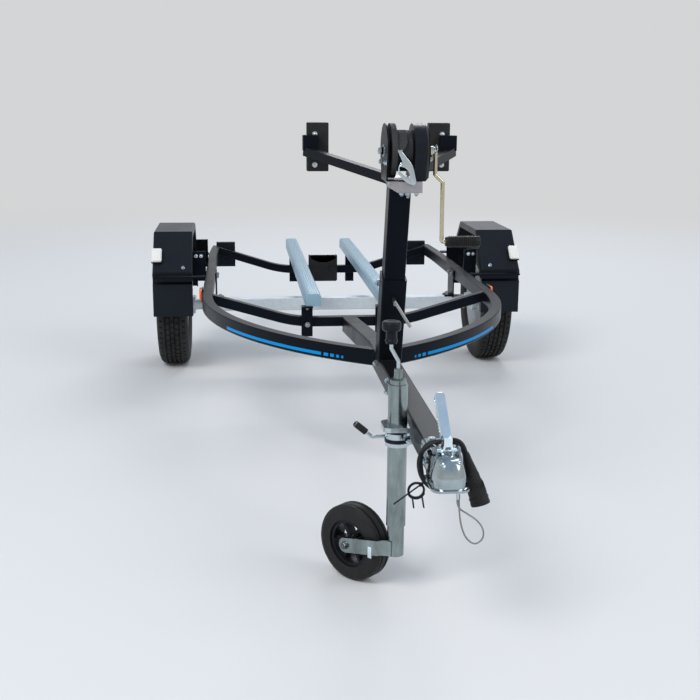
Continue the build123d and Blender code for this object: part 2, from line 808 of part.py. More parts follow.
def make_coupling_lever():
    """Pressed channel handle leaning back over the neck, its stem splayed into two legs between the ears."""
    low = (Align.CENTER, Align.MIN, Align.CENTER)
    grip = Box(lever_width, lever_length, lever_height, align=low)
    grip = fillet(grip.edges().filter_by(Axis.Z).group_by(Axis.Y)[-1], lever_width * 0.4)
    grip = fillet(grip.edges().filter_by(Axis.Y).group_by(Axis.Z)[-1], lever_wall + 1)
    hollow = Pos(0, 2 * lever_wall, -lever_wall) * Box(lever_width - 2 * lever_wall, lever_length - 4 * lever_wall,
                                                       lever_height, align=low)
    lever = Pos(0, lever_foot_y, lever_foot_z) * Rot(lever_lean, 0, 0) * (grip - hollow)
    front = lever_foot_y - 26
    stem = block(-9, 9, front, lever_foot_y + 6, lever_foot_z - 14, lever_foot_z + 6)
    foot_z = hood_top + seat_gap
    leg = make_face(Polyline((10, front, foot_z), (15, front, foot_z), (8, front, lever_foot_z - 4),
                             (3, front, lever_foot_z - 4), close=True))
    legs = both_sides(extrude(leg, amount=22, dir=(0, 1, 0)))
    pin_half = ear_inner - seat_gap
    pin = rod((-pin_half, front + 12, neck_top + 11), (pin_half, front + 12, neck_top + 11), 8)
    return lever + stem + legs + pin


# Jockey wheel

def heading_plane(z=0):
    """Plan axes of the jockey wheel: local X trails behind the leg, local Y points past the wheel's left."""
    a = math.radians(jockey_heading)
    back = Vector(-math.sin(a), math.cos(a), 0)
    return Plane(origin=(jockey_x, jockey_y, z), x_dir=back, z_dir=(0, 0, 1))


def make_jockey_clamp():
    """Split ring on a plate bolted to the drawbar's left side."""
    x = -drawbar_size / 2
    low = (Align.CENTER, Align.CENTER, Align.MIN)
    height = clamp_ring_top - clamp_ring_bottom
    ring = Pos(jockey_x, jockey_y, clamp_ring_bottom) * Cylinder(clamp_ring_diameter / 2, height, align=low)
    half = clamp_plate_size / 2
    flange_z = clamp_ring_top - clamp_flange_height
    flange = block(jockey_x - half, x, jockey_y - half, jockey_y + half, flange_z, clamp_ring_top)
    flange = fillet(flange.edges().filter_by(Axis.Z).group_by(Axis.X)[0], 18)
    foot = block(x - 6, x, jockey_y - half, jockey_y + half, drawbar_top - drawbar_size + 2, clamp_ring_top)
    bore = Pos(jockey_x, jockey_y, clamp_ring_bottom - 1) * Cylinder(
        jockey_tube_diameter / 2 + bearing_clearance, height + 2, align=low)
    return ring + flange + foot - bore


def make_clamp_lever():
    z = clamp_ring_bottom + 22
    x = jockey_x - clamp_ring_diameter / 2
    arm = bent_rod([(x + 4, jockey_y, z), (x - 32, jockey_y - 2, z), (x - 60, jockey_y - 4, z + 24)], 14, 9)
    grip = rod((x - 48, jockey_y - 3.1, z + 13.7), (x - 74, jockey_y - 5, z + 36), 15)
    ring = Pos(jockey_x, jockey_y, z) * Cylinder(clamp_ring_diameter / 2, 60)
    return arm + grip - ring


def make_jockey_tube():
    height = jockey_tube_top - jockey_tube_bottom
    low = (Align.CENTER, Align.CENTER, Align.MIN)
    base = Pos(jockey_x, jockey_y, jockey_tube_bottom)
    outer = base * Cylinder(jockey_tube_diameter / 2, height, align=low)
    bore = base * Cylinder(jockey_inner_diameter / 2 + jockey_swivel_clearance, height - 60, align=low)
    cap = Pos(jockey_x, jockey_y, jockey_tube_top) * Cylinder(20, 12, align=low)
    collar = Pos(jockey_x, jockey_y, jockey_tube_top + 12) * Cylinder(10, 26, align=low)
    return outer - bore + cap + collar


def crank_offset_point(height):
    """A point on the cranked end's axis, at a height above the tube's collar."""
    return Vector(jockey_x - 18, jockey_y, jockey_tube_top + 38 + height)


def make_jockey_crank():
    z = jockey_tube_top + 38
    points = [(jockey_x, jockey_y, z), (jockey_x, jockey_y, z + 18), tuple(crank_offset_point(50)),
              tuple(crank_offset_point(62))]
    return bent_rod(points, 9, jockey_crank_rod)


def make_jockey_knob():
    """Moulded knob with its neck on the crank's end."""
    start = crank_offset_point(62)
    above = Vector(start.X, start.Y, jockey_grip_top - 24)
    knob = rod(above, (above.X, above.Y, jockey_grip_top), 46)
    knob = fillet(knob.edges().filter_by(GeomType.CIRCLE), 7)
    return rod(start, above + Vector(0, 0, 4), 27) + knob


def make_jockey_fork():
    """Inner tube with two pressed arms that flare out from its sides and run past the wheel."""
    inner = Pos(jockey_x, jockey_y, jockey_inner_bottom) * Cylinder(
        jockey_inner_diameter / 2, jockey_inner_top - jockey_inner_bottom, align=(Align.CENTER, Align.CENTER, Align.MIN))
    inside = jockey_wheel_width / 2 + jockey_side_gap
    far = inside + jockey_arm_thickness
    root = jockey_inner_diameter / 2 - 2
    half = jockey_arm_height / 2
    rise = jockey_arm_drop
    end = jockey_trail + half
    start = -jockey_inner_diameter / 8
    ground = heading_plane(jockey_wheel_diameter / 2)
    plan = [(start, root), (8, root), (jockey_arm_flare, inside), (end, inside), (end, far),
            (jockey_arm_flare - 2, far), (6, root + jockey_arm_thickness), (start, root + jockey_arm_thickness)]
    side = [(start - 1, rise - half), (start - 1, rise + half), (20, rise + half), (jockey_trail, half),
            (jockey_trail, -half), (20, rise - half)]
    outline = make_face(Polyline(*[(x, 0, z) for x, z in side], close=True))
    tip = Pos(jockey_trail, 0, 0) * Rot(90, 0, 0) * Cylinder(half, 4 * far)
    silhouette = extrude(outline, amount=2 * far, both=True) + tip
    fork = inner
    for way in (1, -1):
        flat = make_face(Polyline(*[(x, way * y, 0) for x, y in plan], close=True))
        arm = extrude(flat, amount=3 * half, both=True) & silhouette
        fork = fork + ground * arm
    axle = ground * Pos(jockey_trail, 0, 0) * Rot(90, 0, 0) * Cylinder(
        jockey_axle_diameter / 2 - bearing_clearance, 2 * far + 8)
    return fork + axle


def at_jockey_wheel(piece):
    """Turn a piece made about the Z axis on to the jockey wheel's axle."""
    return heading_plane(jockey_wheel_diameter / 2) * Pos(jockey_trail, 0, 0) * Rot(90, 0, 0) * piece


def make_jockey_tyre():
    """Solid rubber tyre with rounded shoulders and two grooves round its tread."""
    outer = jockey_wheel_diameter / 2
    inner = jockey_rim_diameter / 2 + seat_gap
    half = jockey_wheel_width / 2
    groove = jockey_groove
    upper = [(inner, half), (outer - 12, half), (outer - 4, half - 3), (outer, half - jockey_shoulder),
             (outer, groove * 3), (outer - groove, groove * 3), (outer - groove, groove * 2), (outer, groove * 2)]
    lower = [(radius, -z) for radius, z in reversed(upper)]
    profile = make_face(Polyline(*[(radius, 0, z) for radius, z in upper + lower], close=True))
    return at_jockey_wheel(revolve(profile, axis=Axis.Z))


def make_jockey_rim():
    """Moulded rim: a ring and a hub joined by flat spokes."""
    width = jockey_wheel_width - 10
    radius = jockey_rim_diameter / 2
    ring = Cylinder(radius, width) - Cylinder(radius - jockey_rim_wall, width + 2)
    rim = ring + Cylinder(jockey_hub_diameter / 2, width)
    reach = radius - jockey_rim_wall - jockey_hub_diameter / 2 + 4
    middle = (radius - jockey_rim_wall + jockey_hub_diameter / 2) / 2
    for place in PolarLocations(0, jockey_spoke_count):
        rim = rim + place * Pos(middle, 0, 0) * Box(reach, jockey_spoke_width, width * 0.6)
    return at_jockey_wheel(rim - Cylinder(jockey_axle_diameter / 2, width + 2))


# Lead, plug and safety wire

# Route of the lead: out of the drawbar's underside, once round the neck and again over its top to the plug's tail.
lead_diameter = 9
lead_start = [(-8, -2585, 393.3), (-9, -2622, 385), (-12, -2660, 368), (-18, -2697, 361), (-33, -2728, 374)]
lead_turn = [(-50, 412), (-51, 452), (-30, 478), (30, 478), (51, 452), (52, 412), (38, 380), (2, 362),
             (-34, 378)]
lead_end = [(-30, -2772, 477), (-6, -2775, 483), (19, -2778, 490), (41, -2780.5, 481), (47, -2785, 460)]
lead_turns_start = -2752
lead_pitch = 15

# The plug hangs from the lead's end: (distance from its tail, radius) along its axis.
plug_end = (76, -2809, 356)
plug_profile = [(0, 6.5), (16, 8), (32, 11), (46, 13.5), (48, 15), (62, 16), (64, 17.5), (80, 18),
                (82, 19.5), (98, 20), (100, 21), (118, 21)]
plug_face_radius = 18
plug_face_depth = 12

tie_centre = (-57.8, -2768, 369.9)
tie_radius = 18
tie_band = 5
tie_tail_end = (-108, -2770, 340)

# Safety wire: a loop that leaves its ferrule under the coupling's lip and goes back into it.
wire_diameter = 4
ferrule_diameter = 9
ferrule_x = 28
ferrule_y = -2808
ferrule_bottom = 362
wire_points = [(26, -2808, 361.8), (27, -2806, 342), (46, -2803, 328), (70, -2802, 312), (88, -2801, 290),
               (90, -2800, 264), (71, -2799, 249), (51, -2798, 264), (40, -2800, 290), (34, -2803, 318),
               (31, -2808, 342), (30, -2808, 361.8)]


def cord_radii(points):
    """The largest tangent arc at each corner: 0.45 of the shorter run over the tangent of half the turn."""
    radii = []
    for a, b, c in zip(points, points[1:], points[2:]):
        before = Vector(*b) - Vector(*a)
        after = Vector(*c) - Vector(*b)
        turn = math.radians(before.get_angle(after))
        radii.append(0.45 * min(before.length, after.length) / math.tan(turn / 2))
    return radii


def make_cord(points, diameter):
    radii = cord_radii(points)
    path = FilletPolyline(*points, radius=radii)
    section = Plane(origin=path @ 0, z_dir=path % 0)
    solid = sweep(section * Circle(diameter / 2), path=path)
    exact = math.pi * diameter ** 2 / 4 * path.length
    print("cord length", round(path.length, 1), "volume ratio", round(solid.volume / exact, 4))
    print("radii", [round(r, 1) for r in radii])
    return solid


def make_lead_cable():
    count = len(lead_turn)
    turns = [(x, lead_turns_start - lead_pitch * i / count, z) for i, (x, z) in enumerate(lead_turn)]
    again = [(x, y - lead_pitch, z) for x, y, z in turns[:2]]
    return make_cord(lead_start + turns + again + lead_end, lead_diameter)


def make_lead_plug():
    """Rubber plug widening in steps from the cable's end to a hollow face, laid along its axis."""
    tail = Vector(*lead_end[-1])
    axis = Vector(*plug_end) - tail
    length = plug_profile[-1][0]
    outline = [(0, 0, 0)] + [(radius, 0, along) for along, radius in plug_profile]
    outline += [(plug_face_radius, 0, length), (plug_face_radius, 0, length - plug_face_depth),
                (0, 0, length - plug_face_depth)]
    body = revolve(make_face(Polyline(*outline, close=True)), axis=Axis.Z)
    return Plane(origin=tail, z_dir=axis) * body


def make_cable_tie():
    x, y, z = tie_centre
    place = Pos(x, y, z) * Rot(90, 0, 0)
    ring = place * (Cylinder(tie_radius, tie_band) - Cylinder(tie_radius - 3, tie_band + 2))
    start = (x + tie_radius * 0.6, y, z + tie_radius * 0.75)
    line = Edge.make_line(start, tie_tail_end)
    section = Plane(origin=start, x_dir=(0, 1, 0), z_dir=line.tangent_at(0))
    tail = extrude(section * Rectangle(tie_band, 2), line.length)
    head = Pos(*start) * Box(9, tie_band + 2, 8)
    return ring + tail + head


def make_safety_wire():
    return make_cord(wire_points, wire_diameter)


def make_wire_ferrule():
    top = (ferrule_x, ferrule_y, lip_bottom - seat_gap)
    return rod((ferrule_x, ferrule_y, ferrule_bottom), top, ferrule_diameter)


def build():
    parts = {
        "drawbar": make_drawbar(),
        "crossbeam_front": make_crossbeam(crossbeam_front_y, crossbeam_low_top),
        "crossbeam_rear": make_crossbeam(crossbeam_rear_y, crossbeam_rear_low_top),
        "axle_beam": make_axle_beam(),
        "axle_hangers": make_hangers(),
        "bunk_posts_front": make_bunk_posts(crossbeam_front_y, -1, crossbeam_low_top, bunk_post_drop,
                                            bunk_post_front_offset),
        "bunk_posts_rear": make_bunk_posts(crossbeam_rear_y, 1, crossbeam_rear_low_top, bunk_post_rear_drop,
                                           bunk_post_rear_offset),
        "keel_rest": make_keel_rest(),
        "mudguard_brackets": make_guard_brackets(),
        "front_lamps": make_front_lamps(),
        "tail_lamps": make_tail_lamps(),
        "tail_lenses": make_tail_lenses(),
        "side_reflectors": make_reflectors(),
        "post_sleeve": make_post_sleeve(),
        "winch_post": make_winch_post(),
        "post_clamp_screw": make_clamp_screw(),
        "winch_bracket": make_winch_bracket(),
        "winch_drum": make_winch_drum(),
        "winch_frame": make_winch_frame(),
        "winch_cover": make_winch_cover(),
        "winch_crank": make_winch_crank(),
        "winch_crank_grip": make_crank_grip(),
        "winch_hook": make_winch_hook(),
        "bow_stop_arms": make_bow_arms(),
        "coupling_head": make_coupling_head(),
        "coupling_lever": make_coupling_lever(),
        "jockey_clamp": make_jockey_clamp(),
        "jockey_clamp_lever": make_clamp_lever(),
        "jockey_tube": make_jockey_tube(),
        "jockey_crank": make_jockey_crank(),
        "jockey_knob": make_jockey_knob(),
        "jockey_fork": make_jockey_fork(),
        "jockey_tyre": make_jockey_tyre(),
        "jockey_rim": make_jockey_rim(),
        "lead_cable": make_lead_cable(),
        "lead_plug": make_lead_plug(),
        "cable_tie": make_cable_tie(),
        "safety_wire": make_safety_wire(),
        "wire_ferrule": make_wire_ferrule(),
    }
    pairs = {
        "side_rail": make_rail_right(),
        "axle_arm": make_axle_arm_right(),
        "bunk": make_bunk_right(),
        "mudguard": make_mudguard_right(),
        "bow_pad": make_bow_pad_right(),
    }
    for name, piece in pairs.items():
        parts[name + "_right"] = piece
        parts[name + "_left"] = mirror(piece, about=Plane.YZ)
    wheel = {"tyre": make_tyre(), "rim": make_rim(), "hub": make_hub()}
    for name, piece in wheel.items():
        parts[name + "_right"] = at_wheel(piece, 1)
        parts[name + "_left"] = at_wheel(piece, -1)
    return parts


def as_shape(piece):
    """One exportable shape, moved so that the origin is under the middle of the length."""
    solids = []
    for item in piece if isinstance(piece, list) else [piece]:
        solids += item.solids()
    moved = [s.moved(Location((0, origin_shift, 0))) for s in solids]
    return moved[0] if len(moved) == 1 else Compound(children=moved)


if __name__ == "__main__":
    os.makedirs("parts", exist_ok=True)
    for name, piece in build().items():
        export_step(as_shape(piece), f"parts/{name}.step")
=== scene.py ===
import json
import math

import bmesh
import bpy
from mathutils import Matrix, Vector


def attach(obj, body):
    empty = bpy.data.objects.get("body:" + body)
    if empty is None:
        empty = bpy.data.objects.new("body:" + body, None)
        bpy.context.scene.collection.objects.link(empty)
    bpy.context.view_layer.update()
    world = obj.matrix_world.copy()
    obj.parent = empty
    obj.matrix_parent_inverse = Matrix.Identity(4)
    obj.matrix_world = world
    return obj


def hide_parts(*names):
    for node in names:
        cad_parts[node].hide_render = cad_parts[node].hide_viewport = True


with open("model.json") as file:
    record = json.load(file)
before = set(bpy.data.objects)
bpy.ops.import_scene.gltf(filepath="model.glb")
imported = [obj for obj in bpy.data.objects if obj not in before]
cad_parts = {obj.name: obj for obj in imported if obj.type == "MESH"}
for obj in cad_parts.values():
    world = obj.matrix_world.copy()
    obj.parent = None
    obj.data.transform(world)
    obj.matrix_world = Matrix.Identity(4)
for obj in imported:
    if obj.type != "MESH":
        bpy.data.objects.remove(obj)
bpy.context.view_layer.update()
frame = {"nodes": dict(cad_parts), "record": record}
print("frame loaded")

shift = 1.0  # the axle line lies this far behind the model's origin, in metres


def mm(x, y, z):
    # a place given from the axle line in millimetres, as part.py has it
    return Vector((x / 1000, y / 1000 + shift, z / 1000))


def intoScene(thing):
    bpy.context.scene.collection.objects.link(thing)


# Camera

view = {"place": mm(-439.9, -4981.6, 1210.8), "turn": 6.0241, "down": 13.1739, "roll": 0.3878, "lens": 55.47}


def makeCamera():
    turn, down, roll = (math.radians(view[key]) for key in ("turn", "down", "roll"))
    ahead = Vector((math.sin(turn) * math.cos(down), math.cos(turn) * math.cos(down), -math.sin(down)))
    right = Vector((math.cos(turn), -math.sin(turn), 0))
    up = right.cross(ahead)
    rolledRight = right * math.cos(roll) + up * math.sin(roll)
    rolledUp = up * math.cos(roll) - right * math.sin(roll)
    data = bpy.data.cameras.new("camera")
    data.sensor_width = 36
    data.lens = view["lens"]
    data.clip_end = 60
    camera = bpy.data.objects.new("camera", data)
    intoScene(camera)
    matrix = Matrix((rolledRight, rolledUp, -ahead)).transposed().to_4x4()
    matrix.translation = view["place"]
    camera.matrix_world = matrix
    bpy.context.scene.camera = camera


makeCamera()
print("camera set")


# Shader maths: a number on a socket that adds its Math nodes as it is used

class Wire:
    def __init__(self, graph, socket):
        self.graph = graph
        self.socket = socket

    def maths(self, operation, other):
        return self.graph.add("ShaderNodeMath", {"operation": operation}, {0: self, 1: other})

    def __add__(self, other):
        return self.maths("ADD", other)

    def __mul__(self, other):
        return self.maths("MULTIPLY", other)

    __radd__ = __add__
    __rmul__ = __mul__


class Graph:
    def __init__(self, owner, coordinates="Object"):
        # owner is a new material or world, which starts with one shader and its output
        owner.use_nodes = True
        self.owner = owner
        self.tree = owner.node_tree
        self.shader = next(n for n in self.tree.nodes if n.type in ("BSDF_PRINCIPLED", "BACKGROUND"))
        self.place = self.add("ShaderNodeTexCoord", {}, {}, coordinates)

    def add(self, kind, settings, inputs, output=0):
        node = self.tree.nodes.new(kind)
        for key, value in settings.items():
            if key == "stops":
                self.setStops(node, value)
            else:
                setattr(node, key, value)
        for key, value in inputs.items():
            self.feed(node.inputs[key], value)
        return Wire(self, node.outputs[output])

    def setStops(self, node, stops):
        elements = node.color_ramp.elements
        while len(elements) < len(stops):
            elements.new(0.5)
        for element, (position, value) in zip(elements, stops):
            element.position = position
            element.color = (*value, 1) if isinstance(value, tuple) else (value, value, value, 1)

    def feed(self, socket, value):
        if isinstance(value, Wire):
            self.tree.links.new(value.socket, socket)
        elif socket.type == "RGBA":
            socket.default_value = (*value, 1)
        else:
            socket.default_value = value

    def set(self, **values):
        for key, value in values.items():
            self.feed(self.shader.inputs[key.replace("_", " ")], value)

    def noise(self, scale, detail=3, roughness=0.5, place=None):
        return self.add("ShaderNodeTexNoise", {}, {"Vector": place or self.place, "Scale": scale, "Detail": detail,
                                                   "Roughness": roughness})

    def wave(self, direction, scale):
        return self.add("ShaderNodeTexWave", {"wave_type": "BANDS", "bands_direction": direction},
                        {"Vector": self.place, "Scale": scale})

    def ramp(self, fac, *stops):
        return self.add("ShaderNodeValToRGB", {"stops": stops}, {"Fac": fac})

    def mix(self, fac, first, second):
        return self.add("ShaderNodeMix", {"data_type": "RGBA"}, {0: fac, 6: first, 7: second}, 2)

    def axis(self, which, source=None):
        return self.add("ShaderNodeSeparateXYZ", {}, {0: source or self.place}, which)

    def normal(self, which):
        return self.axis(which, self.add("ShaderNodeNewGeometry", {}, {}, "Normal"))

    def bump(self, height, strength, distance):
        return self.add("ShaderNodeBump", {}, {"Height": height, "Strength": strength, "Distance": distance})

    def mixShader(self, factor, first, second):
        mixed = self.add("ShaderNodeMixShader", {}, {0: factor, 1: first, 2: second})
        output = next(n for n in self.tree.nodes if n.type.startswith("OUTPUT"))
        self.feed(output.inputs["Surface"], mixed)


dusty = (0.16, 0.15, 0.135)


def scaled(colour, share):
    return tuple(c * share for c in colour)


def paintedSteel(name, colour, roughness, dust):
    g = Graph(bpy.data.materials.new(name))
    cloud = g.noise(6, 4, 0.6)
    fine = g.noise(420, 2, 0.5)
    upward = g.ramp(g.normal(2), (0.55, 0.0), (1.0, 1.0))
    flecks = g.ramp(g.noise(60, 5, 0.7), (0.6, 0.0), (0.8, 1.0))
    film = upward * g.ramp(cloud, (0.42, 0.0), (0.75, 1.0)) * dust + flecks * (dust * 0.3)
    g.set(Base_Color=g.mix(film, colour, dusty), Roughness=cloud * 0.16 + film * 0.5 + (roughness - 0.06))
    # the reflections are tinted blue: a painted reflection of a blue sky
    g.set(Normal=g.bump(fine, 0.12, 0.0005), IOR=1.4, Specular_IOR_Level=0.16, Specular_Tint=(0.4, 0.62, 0.95))
    return g.owner


def zincPlate(name, colour, roughness, dulled=0.85):
    g = Graph(bpy.data.materials.new(name))
    drawn = g.add("ShaderNodeMapping", {}, {"Vector": g.place, "Scale": (1, 1, 0.35)})
    cloud = g.noise(22, 5, 0.65, drawn)
    streak = g.noise(150, 3, 0.6)
    dull = g.ramp(cloud, (0.35, 0.0), (0.72, 1.0))
    tint = g.mix(dull, colour, scaled(colour, dulled))
    specks = g.ramp(g.noise(85, 4, 0.7), (0.66, 0.0), (0.74, 1.0))
    g.set(Base_Color=g.mix(specks * 0.25, tint, scaled(colour, 0.6)), Metallic=1.0)
    g.set(Roughness=dull * 0.05 + streak * 0.05 + specks * 0.1 + (roughness - 0.05))
    g.set(Normal=g.bump(streak, 0.1, 0.0004))
    return g.owner


def galvanisedSteel(name):
    g = Graph(bpy.data.materials.new(name))
    spangle = g.add("ShaderNodeTexVoronoi", {}, {"Vector": g.place, "Scale": 95}, "Color")
    patch = g.axis(0, spangle)
    cloud = g.noise(14, 4, 0.6)
    colour = g.mix(patch * 0.4 + cloud * 0.6, (0.50, 0.54, 0.57), (0.64, 0.69, 0.72))
    g.set(Base_Color=colour, Metallic=0.45, Roughness=patch * 0.14 + cloud * 0.15 + 0.3)
    g.set(Normal=g.bump(cloud, 0.1, 0.001))
    return g.owner


def mouldedPlastic(name, colour, roughness, grain, dust):
    g = Graph(bpy.data.materials.new(name))
    skin = g.add("ShaderNodeTexVoronoi", {}, {"Vector": g.place, "Scale": grain}, "Distance")
    cloud = g.noise(9, 4, 0.6)
    upward = g.ramp(g.normal(2), (0.5, 0.0), (1.0, 1.0))
    film = upward * cloud * dust + cloud * (dust * 0.2)
    g.set(Base_Color=g.mix(film, colour, dusty), Roughness=cloud * 0.15 + (roughness - 0.06))
    # the reflections are tinted blue: a painted reflection of a blue sky
    g.set(Normal=g.bump(skin, 0.18, 0.0005), Specular_IOR_Level=0.25, Specular_Tint=(0.6, 0.75, 0.95))
    return g.owner


def bunkCover(name, colour, roughness):
    # drawn plastic: fine lines along the length and a little dirt in patches
    g = Graph(bpy.data.materials.new(name))
    stretched = g.add("ShaderNodeMapping", {}, {"Vector": g.place, "Scale": (60, 1.5, 60)})
    lines = g.noise(8, 3, 0.6, stretched)
    cloud = g.noise(7, 4, 0.6)
    dirt = g.ramp(cloud, (0.5, 0.0), (0.8, 1.0)) * 0.25 + g.ramp(lines, (0.5, 0.0), (0.9, 1.0)) * 0.12
    g.set(Base_Color=g.mix(dirt, colour, scaled(colour, 0.62)))
    g.set(Roughness=cloud * 0.14 + lines * 0.1 + (roughness - 0.1))
    g.set(Normal=g.bump(lines, 0.16, 0.0008), Coat_Weight=0.2, Coat_Roughness=0.3)
    return g.owner


def rubber(name, colour, roughness, dust):
    g = Graph(bpy.data.materials.new(name))
    cloud = g.noise(18, 5, 0.65)
    fine = g.noise(320, 3, 0.6)
    film = g.ramp(cloud, (0.4, 0.0), (0.8, 1.0)) * dust
    g.set(Base_Color=g.mix(film, colour, dusty), Roughness=cloud * 0.18 + (roughness - 0.08))
    g.set(Normal=g.bump(fine, 0.2, 0.0005), Specular_IOR_Level=0.25)
    return g.owner


def lens(name, colour, ribs):
    g = Graph(bpy.data.materials.new(name))
    bands = g.wave("X", ribs)
    cloud = g.noise(40, 3, 0.5)
    g.set(Base_Color=g.mix(cloud * 0.25, colour, scaled(colour, 0.7)), Roughness=cloud * 0.08 + 0.09)
    g.set(Normal=g.bump(bands, 0.22, 0.001), Coat_Weight=0.6, Coat_Roughness=0.05)
    return g.owner


def webbing(name, colour):
    # cross-woven strap: ribs across the width over a fine diagonal
    g = Graph(bpy.data.materials.new(name))
    weave = g.wave("X", 260) * 0.6 + g.wave("Z", 330) * 0.4
    cloud = g.noise(30, 4, 0.6)
    g.set(Base_Color=g.mix(weave * 0.5 + cloud * 0.3, colour, scaled(colour, 2.2)), Roughness=cloud * 0.2 + 0.55)
    g.set(Normal=g.bump(weave, 0.4, 0.0008))
    return g.owner


finish = {
    "black": paintedSteel("satinBlackPaint", (0.0045, 0.0052, 0.0068), 0.3, 0.06),
    "zinc": zincPlate("brightZinc", (0.55, 0.62, 0.65), 0.18),
    "dullZinc": zincPlate("dullZinc", (0.36, 0.37, 0.37), 0.34),
    "tubeZinc": zincPlate("greenishZinc", (0.33, 0.39, 0.385), 0.2, 0.45),
    "leverZinc": zincPlate("leverZinc", (0.84, 0.95, 1.0), 0.16),
    "housingZinc": zincPlate("bluishZinc", (0.46, 0.53, 0.55), 0.14, 0.55),
    "yellowZinc": zincPlate("paleYellowZinc", (0.62, 0.56, 0.40), 0.26),
    "darkSteel": zincPlate("darkSteel", (0.16, 0.165, 0.17), 0.34),
    "galvanised": galvanisedSteel("galvanisedSteel"),
    "bracket": zincPlate("greyBracketPlate", (0.40, 0.38, 0.40), 0.42),
    "bunk": bunkCover("paleBunkCover", (0.22, 0.35, 0.43), 0.40),
    "plastic": mouldedPlastic("blackMouldedPlastic", (0.0055, 0.0065, 0.0085), 0.36, 700, 0.05),
    "softPlastic": mouldedPlastic("satinBlackPlastic", (0.006, 0.0063, 0.007), 0.34, 900, 0.04),
    "rubber": rubber("blackRubber", (0.0085, 0.0086, 0.009), 0.5, 0.06),
    "grip": rubber("blackGripRubber", (0.0075, 0.0075, 0.0078), 0.45, 0.03),
    "tyre": rubber("roadTyreRubber", (0.010, 0.010, 0.0105), 0.62, 0.14),
    "rim": paintedSteel("silverRimPaint", (0.50, 0.51, 0.52), 0.32, 0.1),
    "whiteLens": lens("whiteLens", (0.80, 0.79, 0.74), 90),
    "redLens": lens("redLens", (0.36, 0.008, 0.008), 120),
    "amber": lens("amberReflector", (0.90, 0.15, 0.012), 260),
    "strap": webbing("wovenStrap", (0.0075, 0.008, 0.0095)),
    "wire": zincPlate("steelWire", (0.30, 0.30, 0.29), 0.4),
    "blue": paintedSteel("blueStripe", (0.002, 0.25, 0.62), 0.34, 0.02),
    "weld": paintedSteel("paintedWeld", (0.006, 0.007, 0.009), 0.4, 0.08),
}

# the record's material slots, each with its finishes, the usual one first
slotFinishes = {
    "frame_black": ("black", "bracket", "weld"),
    "zinc": ("zinc", "dullZinc", "tubeZinc", "leverZinc", "housingZinc", "yellowZinc", "darkSteel"),
    "black_plastic": ("plastic", "softPlastic", "grip"),
    "galvanised": ("galvanised",), "bunk_pad": ("bunk",), "black_rubber": ("rubber",), "tyre": ("tyre",),
    "rim_silver": ("rim",), "lamp_lens": ("whiteLens",), "tail_lens": ("redLens",), "amber": ("amber",),
    "strap": ("strap",), "steel_wire": ("wire",),
}

ownFinish = {
    "winch_bracket": "bracket", "jockey_knob": "softPlastic", "winch_cover": "softPlastic", "winch_crank": "yellowZinc",
    "jockey_rim": "softPlastic", "cable_tie": "softPlastic", "winch_crank_grip": "grip", "jockey_tube": "tubeZinc",
    "jockey_fork": "tubeZinc", "coupling_lever": "leverZinc", "coupling_head": "housingZinc",
    "post_clamp_screw": "dullZinc", "bunk_posts_front": "black", "bunk_posts_rear": "black",
}

nodeSlot = {entry["node"]: entry["material_slot"] for entry in frame["record"]["subparts"]}
for name, node in frame["nodes"].items():
    material = finish[ownFinish.get(name, slotFinishes[nodeSlot[name]][0])]
    node.data.materials.clear()
    node.data.materials.append(material)
print("finishes assigned")


# Mesh helpers: all places in world metres, sizes in millimetres

def chain(bm, points, closed=False):
    verts = [bm.verts.new(point) for point in points]
    following = verts[1:] + verts[:1] if closed else verts[1:]
    return verts + [bm.edges.new(pair) for pair in zip(verts, following)]


def only(kind, items):
    return [item for item in items if isinstance(item, kind)]


def arc(across, up, radius, angles):
    return [(across + radius * math.cos(turn), up + radius * math.sin(turn)) for turn in map(math.radians, angles)]


def bothWays(half):
    # half an outline and its mirror image, back to the other side
    return half + [(-a, b) for a, b in reversed(half)]


def roundEdges(bm, edges, radius, segments):
    bmesh.ops.bevel(bm, geom=edges, offset=radius / 1000, offset_type="OFFSET", segments=segments, profile=0.5,
                    material=-1, affect="EDGES")


def lathe(bm, profile, centre, axis, steps, closed=False, side=None):
    # profile holds (distance along the axis, radius) pairs
    axis = Vector(axis).normalized()
    side = Vector(side).normalized() if side else axis.orthogonal().normalized()
    line = chain(bm, [centre + (axis * along + side * radius) / 1000 for along, radius in profile], closed)
    bmesh.ops.spin(bm, geom=line, cent=centre, axis=axis, angle=math.tau, steps=steps, use_merge=True)


def softBox(bm, low, high, radius, segments, place=None):
    # a box with rounded edges between two corners, in the model's frame or in that of a place
    low, high = Vector(low), Vector(high)
    middle = (low + high) / 2
    made = bmesh.ops.create_cube(bm, size=1)["verts"]
    bmesh.ops.scale(bm, vec=(high - low) / 1000, verts=made)
    bmesh.ops.translate(bm, vec=middle / 1000 if place else mm(*middle), verts=made)
    if place:
        bmesh.ops.transform(bm, matrix=place, verts=made)
    edges = list({edge for vert in made for edge in vert.link_edges})
    roundEdges(bm, edges, radius, segments)


def turnedFrame(origin, across, up):
    # a place whose X runs across and Z runs up
    up = Vector(up).normalized()
    across = (Vector(across) - up * Vector(across).dot(up)).normalized()
    matrix = Matrix((across, up.cross(across), up)).transposed().to_4x4()
    matrix.translation = origin
    return matrix


def prism(bm, outline, along, radius, segments):
    # an outline of world points, drawn out by a vector, with its end edges rounded
    verts = [bm.verts.new(point) for point in outline]
    face = bm.faces.new(verts)
    made = bmesh.ops.extrude_face_region(bm, geom=[face])["geom"]
    moved = only(bmesh.types.BMVert, made)
    bmesh.ops.translate(bm, vec=along, verts=moved)
    ends = [edge for edge in bm.edges if {*edge.verts} <= {*verts} or {*edge.verts} <= {*moved}]
    roundEdges(bm, ends, radius, segments)


